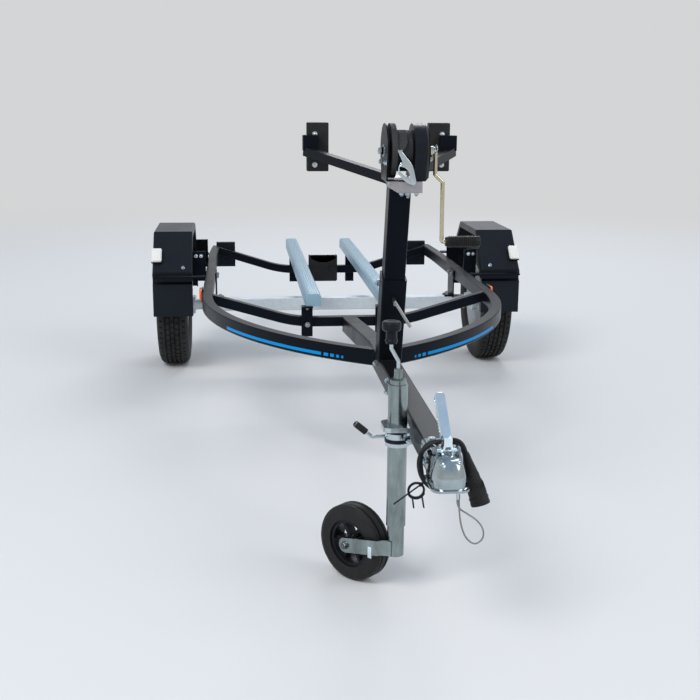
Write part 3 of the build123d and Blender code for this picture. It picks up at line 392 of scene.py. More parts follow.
def rod(name, points, radius, fine, resolution=8, cyclic=False, kind="NURBS"):
    # the curve of a round rod along world points
    data = bpy.data.curves.new(name, "CURVE")
    data.dimensions = "3D"
    data.bevel_depth = radius / 1000
    data.bevel_resolution = fine
    data.use_fill_caps = not cyclic
    data.resolution_u = resolution
    spline = data.splines.new(kind)
    spline.points.add(len(points) - 1)
    for point, place in zip(spline.points, points):
        point.co = (*place, 1)
    if kind == "NURBS":
        spline.order_u = 3
        spline.use_endpoint_u = not cyclic
    spline.use_cyclic_u = cyclic
    return data


def intoMesh(bm, curve):
    holder = bpy.data.objects.new("line", curve)
    mesh = bpy.data.meshes.new_from_object(holder)
    bm.from_mesh(mesh)
    bpy.data.objects.remove(holder)
    bpy.data.meshes.remove(mesh)
    bpy.data.curves.remove(curve)


def rope(bm, points, radius, cyclic=False, fine=3):
    intoMesh(bm, rod("line", points, radius, fine, cyclic=cyclic))


def piece(name, bm, material, body="frame", replaced=(), sharp=38):
    bmesh.ops.remove_doubles(bm, verts=bm.verts, dist=0.00001)
    bmesh.ops.dissolve_degenerate(bm, edges=bm.edges, dist=0.000005)
    bmesh.ops.recalc_face_normals(bm, faces=bm.faces)
    mesh = bpy.data.meshes.new(name)
    bm.to_mesh(mesh)
    bm.free()
    mesh.shade_smooth()
    mesh.set_sharp_from_angle(angle=math.radians(sharp))
    mesh.materials.append(finish[material])
    thing = bpy.data.objects.new(name, mesh)
    intoScene(thing)
    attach(thing, body)
    if replaced:
        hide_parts(*replaced)


def bolt(bm, place, axis, size, standing):
    # a washer and a hexagon head or nut, with its threaded end standing out where one is asked
    axis = Vector(axis).normalized()
    washer, head, pitch = 1.05 * size, 0.93 * size, 0.16 * size
    rim, seat, shoulder, top = 0.14 * size, 0.2 * size, 0.72 * size, 0.84 * size
    lathe(bm, [(-0.4, 0), (-0.4, washer), (rim, washer), (seat, washer * 0.95), (seat, 0)], place, axis, 28)
    lathe(bm, [(seat, 0), (seat, head), (shoulder, head), (top, head * 0.86), (top, 0)], place, axis, 6)
    if standing:
        thread = [(0.8 * size, 0)]
        for turn in range(int(standing / pitch)):
            start = 0.82 * size + pitch * turn
            thread += [(start, size * 0.44), (start + pitch / 2, size * 0.5)]
        end = thread[-1][0] + size * 0.1
        thread += [(end, size * 0.36), (end, 0)]
        lathe(bm, thread, place, axis, 16)


def bolts(name, table, material="zinc"):
    bm = bmesh.new()
    for place, axis, size, standing in table:
        bolt(bm, mm(*place), axis, size, standing)
    piece(name, bm, material)


def mirrored(table):
    # a table of bolts at the left, with those at the right
    return table + [((-x, y, z), (-a, b, c), size, standing) for (x, y, z), (a, b, c), size, standing in table]


sides = ((-1, "left"), (1, "right"))


# Cords

lead = {
    "diameter": 9, "pitch": 15 / 9, "turnsStart": -2752,
    "start": [(-8, -2585, 393.3), (-9, -2622, 385), (-12, -2660, 368), (-18, -2697, 361), (-33, -2728, 374)],
    "turn": [(-50, 412), (-51, 452), (-30, 478), (30, 478), (51, 452), (52, 412), (38, 380), (2, 362), (-34, 378),
             (-50, 412), (-51, 452)],
    "end": [(-30, -2772, 477), (-6, -2775, 483), (19, -2778, 490), (41, -2780.5, 481), (47, -2785, 460)],
    # the two strands at the left of the coupling stand a little apart
    "apart": {0: 4.5, 1: 4.5, 9: -3, 10: -3},
}
wireLoop = {
    "diameter": 4,
    "points": [(26, -2808, 361.8), (27, -2806, 342), (46, -2803, 328), (70, -2802, 312), (88, -2801, 290),
               (90, -2800, 264), (71, -2799, 249), (51, -2798, 264), (40, -2800, 290), (34, -2803, 318),
               (31, -2808, 342), (30, -2808, 361.8)],
}


def cordCurve(name, points, diameter, material):
    data = rod(name, [mm(*place) for place in points], diameter / 2, 4, 10)
    data.materials.append(finish[material])
    thing = bpy.data.objects.new(name, data)
    intoScene(thing)
    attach(thing, "frame")
    return thing


turns = [(x + lead["apart"].get(count, 0), lead["turnsStart"] - lead["pitch"] * count, z)
         for count, (x, z) in enumerate(lead["turn"])]
leadCurve = cordCurve("leadCable", lead["start"] + turns + lead["end"], lead["diameter"], "rubber")
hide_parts("lead_cable")
wireCurve = cordCurve("safetyWire", wireLoop["points"], wireLoop["diameter"], "wire")
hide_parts("safety_wire")
mm(*lead["start"][0])
mm(*wireLoop["points"][0])
print("cords laid")


# Road wheels

wheel = {
    "centre": 733, "height": 280, "steps": 180, "disc": 22, "cap": 36, "valve": 128, "valveReach": (0.026, -0.006),
    "nutCircle": 50, "nutAngles": range(45, 360, 90),
    # the tread's cross cuts: one step in three, on the shoulders and on the crown except in its grooves
    "cut": 3, "shoulder": (43, 60), "crown": 31, "groove": (6.5, 12.5), "cutInset": 0.0032, "cutDepth": 0.004,
}

# half of the tyre's section: distance from its middle plane, radius
tread = [(-50, 168.5), (-55, 172), (-58, 180), (-60, 184), (-61.5, 186), (-64, 200), (-67, 216), (-68.6, 232),
         (-69, 238), (-68.4, 239.5), (-68.4, 244), (-67, 254), (-64.5, 262), (-61, 268.5), (-56, 273.5), (-50, 276.6),
         (-42, 278.4), (-34, 279.2), (-33, 273), (-28, 273), (-27, 279.4), (-13, 279.9), (-12, 273), (-7, 273),
         (-6, 280)]


def makeTyre(side, word):
    centre = mm(side * wheel["centre"], 0, wheel["height"])
    inner, outer = wheel["shoulder"]
    grooveIn, grooveOut = wheel["groove"]
    bm = bmesh.new()
    lathe(bm, bothWays(tread), centre, (1, 0, 0), wheel["steps"], True, (0, 0, 1))
    bmesh.ops.recalc_face_normals(bm, faces=bm.faces)
    cuts = []
    for face in bm.faces:
        middle = face.calc_center_median() - centre
        across = abs(middle.x) * 1000
        reach = math.hypot(middle.y, middle.z) * 1000
        step = int((math.atan2(middle.z, middle.y) / math.tau + 1) * wheel["steps"] + 0.25 * (middle.x > 0))
        onShoulder = reach > 274.5 and inner < across < outer and step % wheel["cut"] == 0
        onCrown = reach > 276 and across < wheel["crown"] and not grooveIn < across < grooveOut
        if onShoulder or onCrown and (step + int(across)) % wheel["cut"] == 0:
            cuts.append(face)
    bmesh.ops.inset_individual(bm, faces=cuts, thickness=wheel["cutInset"], depth=-wheel["cutDepth"])
    piece("wheel_" + word + "Tread", bm, "tyre", "wheel_" + word, ("tyre_" + word,), 30)


def makeWheelTrim(side, word):
    name, out = "wheel_" + word, (side, 0, 0)
    face, height = wheel["centre"] + wheel["disc"], wheel["height"]
    bm = bmesh.new()
    for y, z in arc(0, height, wheel["nutCircle"], wheel["nutAngles"]):
        place = mm(side * face, y, z)
        lathe(bm, [(-1, 0), (-1, 12.5), (3, 11), (3, 0)], place, out, 24)
        lathe(bm, [(2.5, 0), (2.5, 10.5), (13, 10.5), (15.5, 9), (17, 5), (17, 0)], place, out, 6)
    piece(name + "Nuts", bm, "zinc", name)
    bm = bmesh.new()
    root = mm(side * (face + 2), 0, height + wheel["valve"])
    reach, drop = wheel["valveReach"]
    end = root + Vector((side * reach, 0, drop))
    rope(bm, [root, root + Vector((side * 0.012, 0, -0.001)), end], 4.2)
    cap = [(-1, 0), (-1, 4.9), (1, 5.3), (3, 4.9), (5, 5.3), (7, 4.9), (9, 4.4), (9.5, 0)]
    lathe(bm, cap, end, (side, 0, -0.25), 20)
    piece(name + "Valve", bm, "rubber", name)
    bm = bmesh.new()
    lathe(bm, [(0, 32.6), (4, 32.6), (6, 31), (24, 29.5), (28.5, 27), (31.5, 20), (32.5, 8), (32.7, 0)],
          mm(side * (wheel["centre"] + wheel["cap"]), 0, height), out, 48)
    piece(name + "Cap", bm, "zinc", name)


for side, word in sides:
    makeTyre(side, word)
    makeWheelTrim(side, word)
print("wheels made")


# Bunks, keel rest and bow pads

bunk = {
    "centre": 147, "half": 31, "bottom": 412, "top": 462, "front": -830, "rear": 880, "round": 15,
    "grooves": [(15, 0), (14, -1.6), (12.6, -1.6), (11.6, 0), (7, 0), (6, -1.6), (4.6, -1.6), (3.6, 0)],
}


def makeBunk(side, word):
    half, top, bottom, corner = bunk["half"], bunk["top"], bunk["bottom"], bunk["round"]
    outline = [(-half + 2, bottom), (half - 2, bottom), (half, bottom + 2), (half, top - corner)]
    outline += arc(half - corner, top - corner, corner, range(12, 90, 13))
    outline += bothWays([(a, top + drop) for a, drop in bunk["grooves"]])
    outline += arc(-half + corner, top - corner, corner, range(103, 180, 13))
    outline += [(-half, top - corner), (-half, bottom + 2)]
    bm = bmesh.new()
    length = Vector((0, (bunk["rear"] - bunk["front"]) / 1000, 0))
    prism(bm, [mm(side * bunk["centre"] + a, bunk["front"], z) for a, z in outline], length, 1.6, 3)
    piece("bunkCover_" + word, bm, "bunk", "frame", ("bunk_" + word,), 40)


for side, word in sides:
    makeBunk(side, word)

keel = {
    "half": 73, "top": 417, "bottom": 281, "dip": 34, "front": 540, "rear": 590, "studs": 46, "studHeight": 345,
}


def makeKeelRest():
    half, top, bottom, dip, front = (keel[key] for key in ("half", "top", "bottom", "dip", "front"))
    radius = (half * half + dip * dip) / (2 * dip)
    outline = [(-half, bottom + 6), (-half + 6, bottom), (half - 6, bottom), (half, bottom + 6), (half, top - 4),
               (half - 3, top - 1)]
    outline += [(x, top - dip + radius - math.sqrt(radius * radius - x * x)) for x in range(66, -67, -6)]
    outline += [(-half + 3, top - 1), (-half, top - 4)]
    bm = bmesh.new()
    prism(bm, [mm(x, front, z) for x, z in outline], Vector((0, (keel["rear"] - front) / 1000, 0)), 4, 3)
    for x in (-keel["studs"], keel["studs"]):
        lathe(bm, [(-0.5, 0), (-0.5, 14), (2.5, 13), (2.5, 0)], mm(x, front, keel["studHeight"]), (0, -1, 0), 28)
    piece("keelRubber", bm, "rubber", "frame", ("keel_rest",), 40)


makeKeelRest()

pad = {"x": 189, "half": 33.5, "front": -1620, "rear": -1580, "low": 988, "high": 1136, "grooves": (14, 0, -14)}


def makeBowPad(side, word):
    half, front, rear = pad["half"], pad["front"], pad["rear"]
    outline = [(-half, front + 2), (-half + 2, front), (half - 2, front), (half, front + 2), (half, rear - 10)]
    outline += [(half - 2 - 0.55 * step * step, rear - 9 + step * 1.6) for step in range(1, 5)]
    for middle in pad["grooves"]:
        outline += [(middle + 3, rear), (middle + 1.6, rear - 4), (middle - 1.6, rear - 4), (middle - 3, rear)]
    outline += [(-half + 2 + 0.55 * step * step, rear - 9 + step * 1.6) for step in range(4, 0, -1)]
    outline += [(-half, rear - 10)]
    bm = bmesh.new()
    height = Vector((0, 0, (pad["high"] - pad["low"]) / 1000))
    prism(bm, [mm(side * pad["x"] + a, y, pad["low"]) for a, y in outline], height, 3.5, 3)
    piece("bowPad_" + word, bm, "rubber", "frame", ("bow_pad_" + word,), 40)


for side, word in sides:
    makeBowPad(side, word)
print("bunks and pads made")


# Lamps and reflectors

slope = {"middle": (788.5, -286.4, 538.8), "out": (0, -0.696, 0.718)}


def makeFrontLamp(side, word):
    x, y, z = slope["middle"]
    place = turnedFrame(mm(side * x, y, z), (1, 0, 0), slope["out"])
    bm = bmesh.new()
    softBox(bm, (-23, -36, -5), (23, 36, 12), 8.5, 5, place)
    softBox(bm, (-17, -28, 11), (17, 28, 12.6), 0.6, 2, place)
    piece("frontLens_" + word, bm, "whiteLens", "frame", ("front_lamps",), 40)
    bm = bmesh.new()
    softBox(bm, (-22, -34, -12), (22, 34, -4.5), 2.4, 3, place)
    piece("frontLampBase_" + word, bm, "rubber")


for side, word in sides:
    makeFrontLamp(side, word)

tail = {
    "x": 500, "half": 40, "face": 673.3, "depth": 11.5, "rib": 4,
    "bands": ((430, 465, "amber"), (357, 428.5, "redLens")),
}


def makeTailLens(side, word):
    x, half, face = side * tail["x"], tail["half"], tail["face"]
    rear = face + tail["depth"]
    for low, high, material in tail["bands"]:
        bm = bmesh.new()
        softBox(bm, (x - half, face - 3, low), (x + half, rear, high), 4, 4)
        for rib in range(int((high - low - 10) / tail["rib"])):
            foot = low + 6 + rib * tail["rib"]
            softBox(bm, (x - half + 5, rear - 1, foot), (x + half - 5, rear + 0.2, foot + 1.6), 0.4, 1)
        replaced = ("tail_lenses",) if material == "redLens" else ()
        piece("tailLens_" + word + "_" + str(low), bm, material, "frame", replaced, 40)


for side, word in sides:
    makeTailLens(side, word)

reflector = {"inner": 583, "outer": 594, "front": -721, "rear": -659, "low": 421, "high": 463, "rim": 3}


def makeReflector(side, word):
    inner, outer, front, rear, base, top, rim = reflector.values()
    bm = bmesh.new()
    low, high = sorted((side * inner, side * outer))
    softBox(bm, (low, front, base), (high, rear, top), 4, 4)
    piece("sideReflector_" + word, bm, "amber", "frame", ("side_reflectors",), 40)
    bm = bmesh.new()
    low, high = sorted((side * (inner - rim), side * (inner + 1)))
    softBox(bm, (low, front - rim, base - rim), (high, rear + rim, top + rim), 1.4, 2)
    piece("reflectorBase_" + word, bm, "softPlastic")


for side, word in sides:
    makeReflector(side, word)
print("lamps made")


# Blue stripes on the rails

stripe = {
    "radius": 1200, "middle": 620, "front": -780, "low": 417.5, "high": 427.5, "thickness": 0.5, "sunk": 0.4,
    # start angle, end angle and share of the height, seen from the middle of the rail's arc
    "left": ((-0.409, -0.838, 1), (-0.847, -0.861, 1), (-0.868, -0.880, 1), (-0.887, -0.896, 0.9),
             (-0.903, -0.909, 0.8)),
    "right": ((-0.457, -0.868, 1), (-0.877, -0.890, 1), (-0.897, -0.907, 0.9), (-0.914, -0.920, 0.8)),
}


def makeStripe(side, word):
    bm = bmesh.new()
    centre = mm(-side * stripe["middle"], stripe["front"], 0)
    inner, outer = stripe["radius"] - stripe["sunk"], stripe["radius"] + stripe["thickness"]
    for start, end, share in stripe[word]:
        low = stripe["low"] + (1 - share) * 3
        high = low + (stripe["high"] - stripe["low"]) * share
        section = [(inner, low), (outer, low), (outer, high), (inner, high)]
        heading = Vector((side * math.cos(start), math.sin(start), 0))
        line = chain(bm, [centre + heading * (a / 1000) + Vector((0, 0, z / 1000)) for a, z in section], True)
        bmesh.ops.spin(bm, geom=line, cent=centre, axis=(0, 0, 1), angle=side * (end - start),
                       steps=max(2, int(abs(end - start) * 110)))
        rims = [edge for edge in bm.edges if edge.is_boundary]
        bmesh.ops.holes_fill(bm, edges=rims, sides=4)
    piece("blueStripe_" + word, bm, "blue")


for side, word in sides:
    makeStripe(side, word)
print("stripes made")


# Winch

winch = {
    "y": -2199.4, "z": 1079, "left": -62, "shaft": -70, "right": 48.3, "crank": 63.8,
    "plateBolts": ((-50, -28), (48, -30)), "beadCircle": 52, "coverRings": (32, 44, 60),
    # the spring clip on the crank's shaft: x, then y and z from the shaft's middle
    "clip": [(69, -4, 1), (69, -14, 10), (70, -22, 15), (71, -29, 10), (71, -27, 1), (70, -19, -3), (69, -9, -4),
             (68, 2, -9), (67, 9, -12)],
    "clipEnd": [(69, -4, 1), (68.5, 8, 3), (67, 15, 1)],
}


def makeWinchDetails():
    y, z = winch["y"], winch["z"]
    plate, cover, right = mm(winch["left"], y, z), mm(winch["right"], y, z), (1, 0, 0)
    bm = bmesh.new()
    lathe(bm, [(-0.4, 67.6), (-0.4, 69.0), (0.6, 69.5), (3.0, 69.5), (3.8, 69.0), (3.8, 67.6)], plate, right, 96, True)
    piece("winchPlateRim", bm, "black")
    bm = bmesh.new()
    bolt(bm, mm(winch["shaft"] + 0.5, y, z), (-1, 0, 0), 9, 2)
    lathe(bm, [(-0.5, 9.5), (-0.5, 15.5), (2, 15.5), (2.6, 15), (2.6, 9.5)], plate, (-1, 0, 0), 40, True)
    for a, b in winch["plateBolts"]:
        bolt(bm, mm(winch["left"], y + a, z + b), (-1, 0, 0), 7, 3)
    piece("winchPlateBolts", bm, "zinc")
    bm = bmesh.new()
    for a, b in arc(y, z, winch["beadCircle"], range(25, 338, 52)):
        lathe(bm, [(-0.5, 0), (-0.5, 4.4), (1.6, 3.8), (2.2, 0)], mm(winch["right"], a, b), right, 20)
    lathe(bm, [(-1, 22), (-1, 27), (1.2, 27), (2.2, 26), (2.2, 22)], cover, right, 48, True)
    for reach in winch["coverRings"]:
        ring = [(-0.6, reach), (0.5, reach + 0.5), (0.5, reach + 1.7), (-0.6, reach + 2.2)]
        lathe(bm, ring, cover, right, 72, True)
    piece("winchCoverBeads", bm, "softPlastic")
    bm = bmesh.new()
    collar = [(-0.5, 0), (-0.5, 11.5), (2, 11.5), (2, 9), (6, 9), (7, 8), (7, 0)]
    lathe(bm, collar, mm(winch["crank"], y, z), right, 32)
    for wire in (winch["clip"], winch["clipEnd"]):
        rope(bm, [mm(x, y + a, z + b) for x, a, b in wire], 1.5)
    piece("crankClip", bm, "zinc")


makeWinchDetails()

strap = {
    "half": 16, "middle": -26, "thick": 1.4, "taperTop": 22, "taper": 30, "narrowest": 0.34,
    # the way of the webbing, measured from the drum's middle
    "route": [(-18, 49.5), (-33, 41.5), (-44, 29), (-50.5, 16), (-54.8, 8), (-58, 2.5), (-61.4, 3.5), (-62.2, 8),
              (-60, 15), (-55.2, 22), (-48, 34), (-36, 45), (-20, 53)],
}


def makeStrapTail():
    # the webbing's end comes down off the roll, narrows and is sewn round the hook's eye
    y, z, middle = winch["y"], winch["z"], strap["middle"] / 1000
    bm = bmesh.new()
    line = chain(bm, [mm(strap["middle"] - strap["half"], y + a, z + b) for a, b in strap["route"]])
    made = bmesh.ops.extrude_edge_only(bm, edges=only(bmesh.types.BMEdge, line))["geom"]
    moved = only(bmesh.types.BMVert, made)
    bmesh.ops.translate(bm, vec=Vector((2 * strap["half"] / 1000, 0, 0)), verts=moved)
    for vert in bm.verts:
        drop = (z + strap["taperTop"] - vert.co.z * 1000) / strap["taper"]
        if drop > 0:
            share = max(strap["narrowest"], 1 - 0.7 * drop)
            vert.co.x = middle - 0.004 * min(1, drop) + (vert.co.x - middle) * share
    bmesh.ops.solidify(bm, geom=list(bm.faces), thickness=strap["thick"] / 1000)
    piece("strapTail", bm, "strap")


makeStrapTail()

grip = {"place": (101.3, -2209.4, 845), "ribs": 13, "pitch": 5.6}


def makeCrankGrip():
    profile = [(0, 0), (0, 10.5), (0.8, 12), (4, 13), (7, 13.4)]
    for rib in range(grip["ribs"]):
        start = 8.5 + rib * grip["pitch"]
        profile += [(start, 13.2), (start + 0.9, 14.9), (start + 3.6, 14.9), (start + 4.5, 13.2)]
    profile += [(82.5, 13.6), (86, 14.9), (90, 14.6), (92.2, 13), (93, 10.5), (93, 5), (89.5, 4.6), (89.5, 0)]
    bm = bmesh.new()
    lathe(bm, profile, mm(*grip["place"]), (1, 0, 0), 40)
    piece("crankGrip", bm, "grip", "frame", ("winch_crank_grip",), 32)


makeCrankGrip()

hook = {
    "front": -2260.6, "thick": 8.2,
    "outline": [(-34, 1042), (-27, 1046), (-23.5, 1054), (-28, 1063), (-33, 1072), (-37, 1083), (-36, 1088),
                (-31, 1089), (-24, 1080), (-12, 1065), (-3, 1055), (4, 1044), (7.5, 1032), (11, 1016),
                (13.5, 1005), (11.5, 997), (4, 994), (-9, 1000), (-21, 1009.5), (-29.5, 1021), (-34.5, 1031),
                (-28, 1033), (-22.5, 1027), (-16, 1021), (-8.5, 1015.5), (-4.5, 1018), (-5, 1026), (-10, 1034),
                (-18, 1039.5), (-27, 1041)],
}


def makeHook():
    # a flat forged snap hook, its mouth closed by a sprung gate
    bm = bmesh.new()
    outline = [mm(x, hook["front"], z) for x, z in hook["outline"]]
    prism(bm, outline, Vector((0, hook["thick"] / 1000, 0)), 2.2, 4)
    y = hook["front"] + hook["thick"] / 2
    rope(bm, [mm(-25, y, 1052), mm(-29.5, y - 1, 1046), mm(-32, y - 1, 1038), mm(-31, y, 1029)], 2.3)
    rivet = [(-5.2, 0), (-5.2, 3.2), (-4, 3.8), (4, 3.8), (5.2, 3.2), (5.2, 0)]
    lathe(bm, rivet, mm(-21, y, 1055), (0, 1, 0), 20)
    eye = [(-4.6, 3.4), (-4.6, 6.2), (-3.8, 6.8), (3.8, 6.8), (4.6, 6.2), (4.6, 3.4)]
    lathe(bm, eye, mm(-30, y, 1082), (0, 1, 0), 28, True)
    piece("snapHook", bm, "zinc", "frame", ("winch_hook",), 42)


makeHook()

bracketPlate = {"low": (-31, -2252.4, 975), "high": (31, -2248.6, 1003)}


def makeBracketFront():
    bm = bmesh.new()
    softBox(bm, bracketPlate["low"], bracketPlate["high"], 1.2, 3)
    piece("bracketFrontPlate", bm, "bracket")


makeBracketFront()
print("winch made")


# Coupling head

coupling = {
    "neckTop": 463, "side": 35, "pivot": (27, -2805, 473), "rivets": ((30.4, -2826, 441), (31.4, -2817, 425)),
}


def makeCouplingDetails():
    above = [((x, y, coupling["neckTop"]), (0, 0, 1), 10, 0) for y in (-2707, -2742) for x in (-14, 14)]
    beside = [((-coupling["side"], y, 430), (-1, 0, 0), 10, 0) for y in (-2716, -2740)]
    bolts("couplingBolts", above + mirrored(beside))
    bm = bmesh.new()
    for side in (-1, 1):
        x, y, z = coupling["pivot"]
        lathe(bm, [(-1, 0), (-1, 7.6), (2.2, 7.6), (3.6, 6), (4, 0)], mm(side * x, y, z), (side, 0, 0), 28)
        for x, y, z in coupling["rivets"]:
            lathe(bm, [(-1, 0), (-1, 5.6), (2.2, 5.6), (3.2, 4), (3.4, 0)], mm(side * x, y, z), (side, 0, 0.12), 24)
    piece("couplingRivets", bm, "dullZinc")


makeCouplingDetails()

hood = {
    "ball": -2835,
    # height, half width, reach in front of the ball's middle, reach behind it, squareness
    "rings": [(405.6, 38.2, 41.6, 45, 3.2), (407.2, 35.6, 39.4, 45, 3.2), (410, 34.6, 38.6, 45, 3.1),
              (415, 35.6, 39.8, 45, 3.0), (422, 36.2, 41, 45, 2.9), (431, 35.6, 41, 45, 2.9),
              (441, 33.6, 38.8, 45, 2.8), (450, 31, 35.4, 45, 2.8), (457.5, 28.8, 31.8, 45, 2.8),
              (462.5, 27, 29, 42, 2.8), (465.6, 24.6, 26, 34, 2.7), (466.9, 20.5, 21.5, 24, 2.5),
              (467.3, 15.5, 16.5, 13.5, 2.1), (469.2, 13.6, 14.4, 11.6, 2), (470.9, 9.5, 10.2, 7.6, 2),
              (471.7, 4.5, 5.3, 2.6, 2)],
    "lip": [(401.9, 41.4, 44.2, 45, 3.4), (402.6, 42.4, 45.3, 45, 3.4), (404.6, 42.6, 45.5, 45, 3.4),
            (406.2, 41.8, 44.7, 45, 3.4), (407.4, 38, 41, 45, 3.3), (407.9, 34, 37.6, 45, 3.2),
            (409.4, 31.4, 35.2, 45, 3.2)],
}


def ringStack(bm, rings):
    # superellipse rings round the ball, joined one to the next, and closed at both ends
    loops = []
    for z, half, front, rear, square in rings:
        verts = bmesh.ops.create_circle(bm, cap_ends=False, radius=1, segments=56)["verts"]
        for vert in verts:
            c, s = vert.co.x, vert.co.y
            x = half * math.copysign(abs(c) ** (2 / square), c)
            y = (rear if s > 0 else front) * math.copysign(abs(s) ** (2 / square), s)
            vert.co = mm(x, hood["ball"] + y, z)
        loops.append(list({edge for vert in verts for edge in vert.link_edges}))
    for first, second in zip(loops, loops[1:]):
        bmesh.ops.bridge_loops(bm, edges=first + second)
    bmesh.ops.holes_fill(bm, edges=loops[0] + loops[-1], sides=0)


def makeHood():
    # the pressed ball housing's full rounding and its lip, laid over the plainer solid
    for name, rings in (("couplingHood", hood["rings"]), ("couplingLip", hood["lip"])):
        bm = bmesh.new()
        ringStack(bm, rings)
        piece(name, bm, "housingZinc", sharp=50)


makeHood()

lever = {"foot": (0, -2797, 500), "lean": 38.5, "teeth": 11, "first": 0.018, "pitch": 0.0082, "side": 0.0118}


def makeLeverEdge():
    # small pressed teeth along both lower edges of the handle
    foot, lean = mm(*lever["foot"]), math.radians(lever["lean"])
    along = Vector((0, math.cos(lean), math.sin(lean)))
    out = Vector((0, -math.sin(lean), math.cos(lean)))
    bm = bmesh.new()
    for side in (-1, 1):
        for tooth in range(lever["teeth"]):
            place = foot + along * (lever["first"] + tooth * lever["pitch"]) + out * -0.0045
            spot = turnedFrame(place + Vector((side * lever["side"], 0, 0)), along, out)
            softBox(bm, (-2.4, -1.0, -2.4), (2.4, 1.0, 2.6), 0.9, 2, spot)
    rope(bm, [foot + along * reach + out * 0.0079 for reach in (0.016, 0.03, 0.06, 0.09, 0.102)], 1.6)
    piece("leverTeeth", bm, "leverZinc")


makeLeverEdge()

plug = {
    "tail": (46.6, -2784.6, 461), "end": (76, -2809, 356),
    # distance from the tail and radius: the sleeve's rings, then one of the ribs round the head
    "rings": ((6, 7.6), (11, 8.2), (16, 8.9), (21, 9.7), (26, 10.5), (31, 11.4), (37, 12.6), (42, 13.6)),
    "ribs": 20, "rib": ((69, 17.8), (75, 18.6), (92, 19.6), (97, 19.2)),
}


def makePlugRibs():
    tail, end = mm(*plug["tail"]), mm(*plug["end"])
    axis = (end - tail).normalized()
    side = axis.orthogonal().normalized()
    ring = [(0, -1.4), (0.5, 0.3), (2.6, 0.5), (3.2, -1)]
    bm = bmesh.new()
    for reach, radius in plug["rings"]:
        lathe(bm, [(reach + a, radius + b) for a, b in ring], tail, axis, 32, True)
    for count in range(plug["ribs"]):
        turn = math.tau * count / plug["ribs"]
        out = side * math.cos(turn) + axis.cross(side) * math.sin(turn)
        rope(bm, [tail + (axis * reach + out * radius) / 1000 for reach, radius in plug["rib"]], 1.1, fine=2)
    lathe(bm, [(100.5, 20.6), (101, 21.6), (104, 21.9), (105, 21.2)], tail, axis, 48, True)
    lathe(bm, [(112, 21), (112.5, 21.8), (116.5, 21.8), (117.8, 21)], tail, axis, 48, True)
    piece("plugRibs", bm, "rubber")


makePlugRibs()

tie = {
    "place": (-57.8, -2768, 369.9), "band": 18.5, "ring": 18.2,
    "prongs": (((-66, 354), (-62.5, 329)), ((-44, 353), (-40, 330))),
}


def makeTieClip():
    # the thicker band and the two prongs that hold the lead's slack
    x, y, z = tie["place"]
    bm = bmesh.new()
    rope(bm, [mm(a, y, b) for a, b in arc(x, z, tie["band"], range(205, 345, 15))], 3.2)
    rope(bm, [mm(a, y, b) for a, b in arc(x, z, tie["ring"], range(0, 360, 20))], 2.1, True)
    for prong in tie["prongs"]:
        start, foot = (mm(a, y, b) for a, b in prong)
        spot = turnedFrame((start + foot) / 2, (1, 0, 0), foot - start)
        softBox(bm, (-1.6, -4, -13), (1.6, 4, 13), 1.2, 3, spot)
    piece("tieClip", bm, "softPlastic")


makeTieClip()

grommet = {"place": (-8, -2582, 394.2), "along": (-0.03, -0.972, -0.233)}


def makeLeadGrommet():
    profile = [(-2, 4.2), (-2, 8.2), (1, 8.6), (3, 7.8), (12, 6.4), (24, 5.4), (26, 4.2)]
    bm = bmesh.new()
    lathe(bm, profile, mm(*grommet["place"]), grommet["along"], 28, True)
    piece("leadGrommet", bm, "rubber")


makeLeadGrommet()
print("coupling made")


# Jockey wheel and clamp

jockey = {"x": -61, "y": -2500, "trail": 132, "heading": 43.5, "axle": 100, "reach": 40}


def makeJockeyDetails():
    turn = math.radians(jockey["heading"])
    back = Vector((-math.sin(turn), math.cos(turn), 0))
    left = Vector((-back.y, back.x, 0))
    centre = mm(jockey["x"], jockey["y"], jockey["axle"]) + back * (jockey["trail"] / 1000)
    bm = bmesh.new()
    for side in (-1, 1):
        bolt(bm, centre + left * side * (jockey["reach"] + 0.3) / 1000, left * side, 10, 3 if side > 0 else 0)
    piece("jockeyAxleNuts", bm, "darkSteel", "jockey_caster")
    # a bright thin strip laid flat on the near arm
    bm = bmesh.new()
    low, high = jockey["reach"] + 0.2, jockey["reach"] + 0.9
    spot = turnedFrame(centre - back * 0.082 + Vector((0, 0, 0.004)), back, (0, 0, 1))
    softBox(bm, (-6, low, -15), (6, high, 15), 0.3, 2, spot)
    piece("jockeyArmBrightStrip", bm, "leverZinc", "jockey_caster")
    bm = bmesh.new()
    for side in (-1, 1):
        for reach in (74, 84):
            ring = [(23.0, reach), (24.1, reach + 1), (24.1, reach + 3), (23.0, reach + 4)]
            lathe(bm, ring, centre, left * side, 96, True)
    piece("jockeyTyreRings", bm, "rubber", "jockey_wheel")


makeJockeyDetails()

# where the painted shade bands sit in the clamp's slots
clamp = {"slots": ((421.5, 428), (397.5, 407)), "radii": (29.5, 30.9, 31.3)}


def makeClampLining():
    # dark bands in the clamp's slots: painted shade of the gaps between its parts
    bore, rim, bulge = clamp["radii"]
    bm = bmesh.new()
    for low, high in clamp["slots"]:
        lathe(bm, [(low, bore), (low, rim), (low + 1, bulge), (high - 1, bulge), (high, rim), (high, bore)],
              mm(jockey["x"], jockey["y"], 0), (0, 0, 1), 64, True)
    piece("clampSlotShade", bm, "softPlastic")


makeClampLining()

clampGrip = {"start": (-139, -2503.1, 423.7), "end": (-165, -2505, 446), "ribs": 5, "pitch": 4.4}


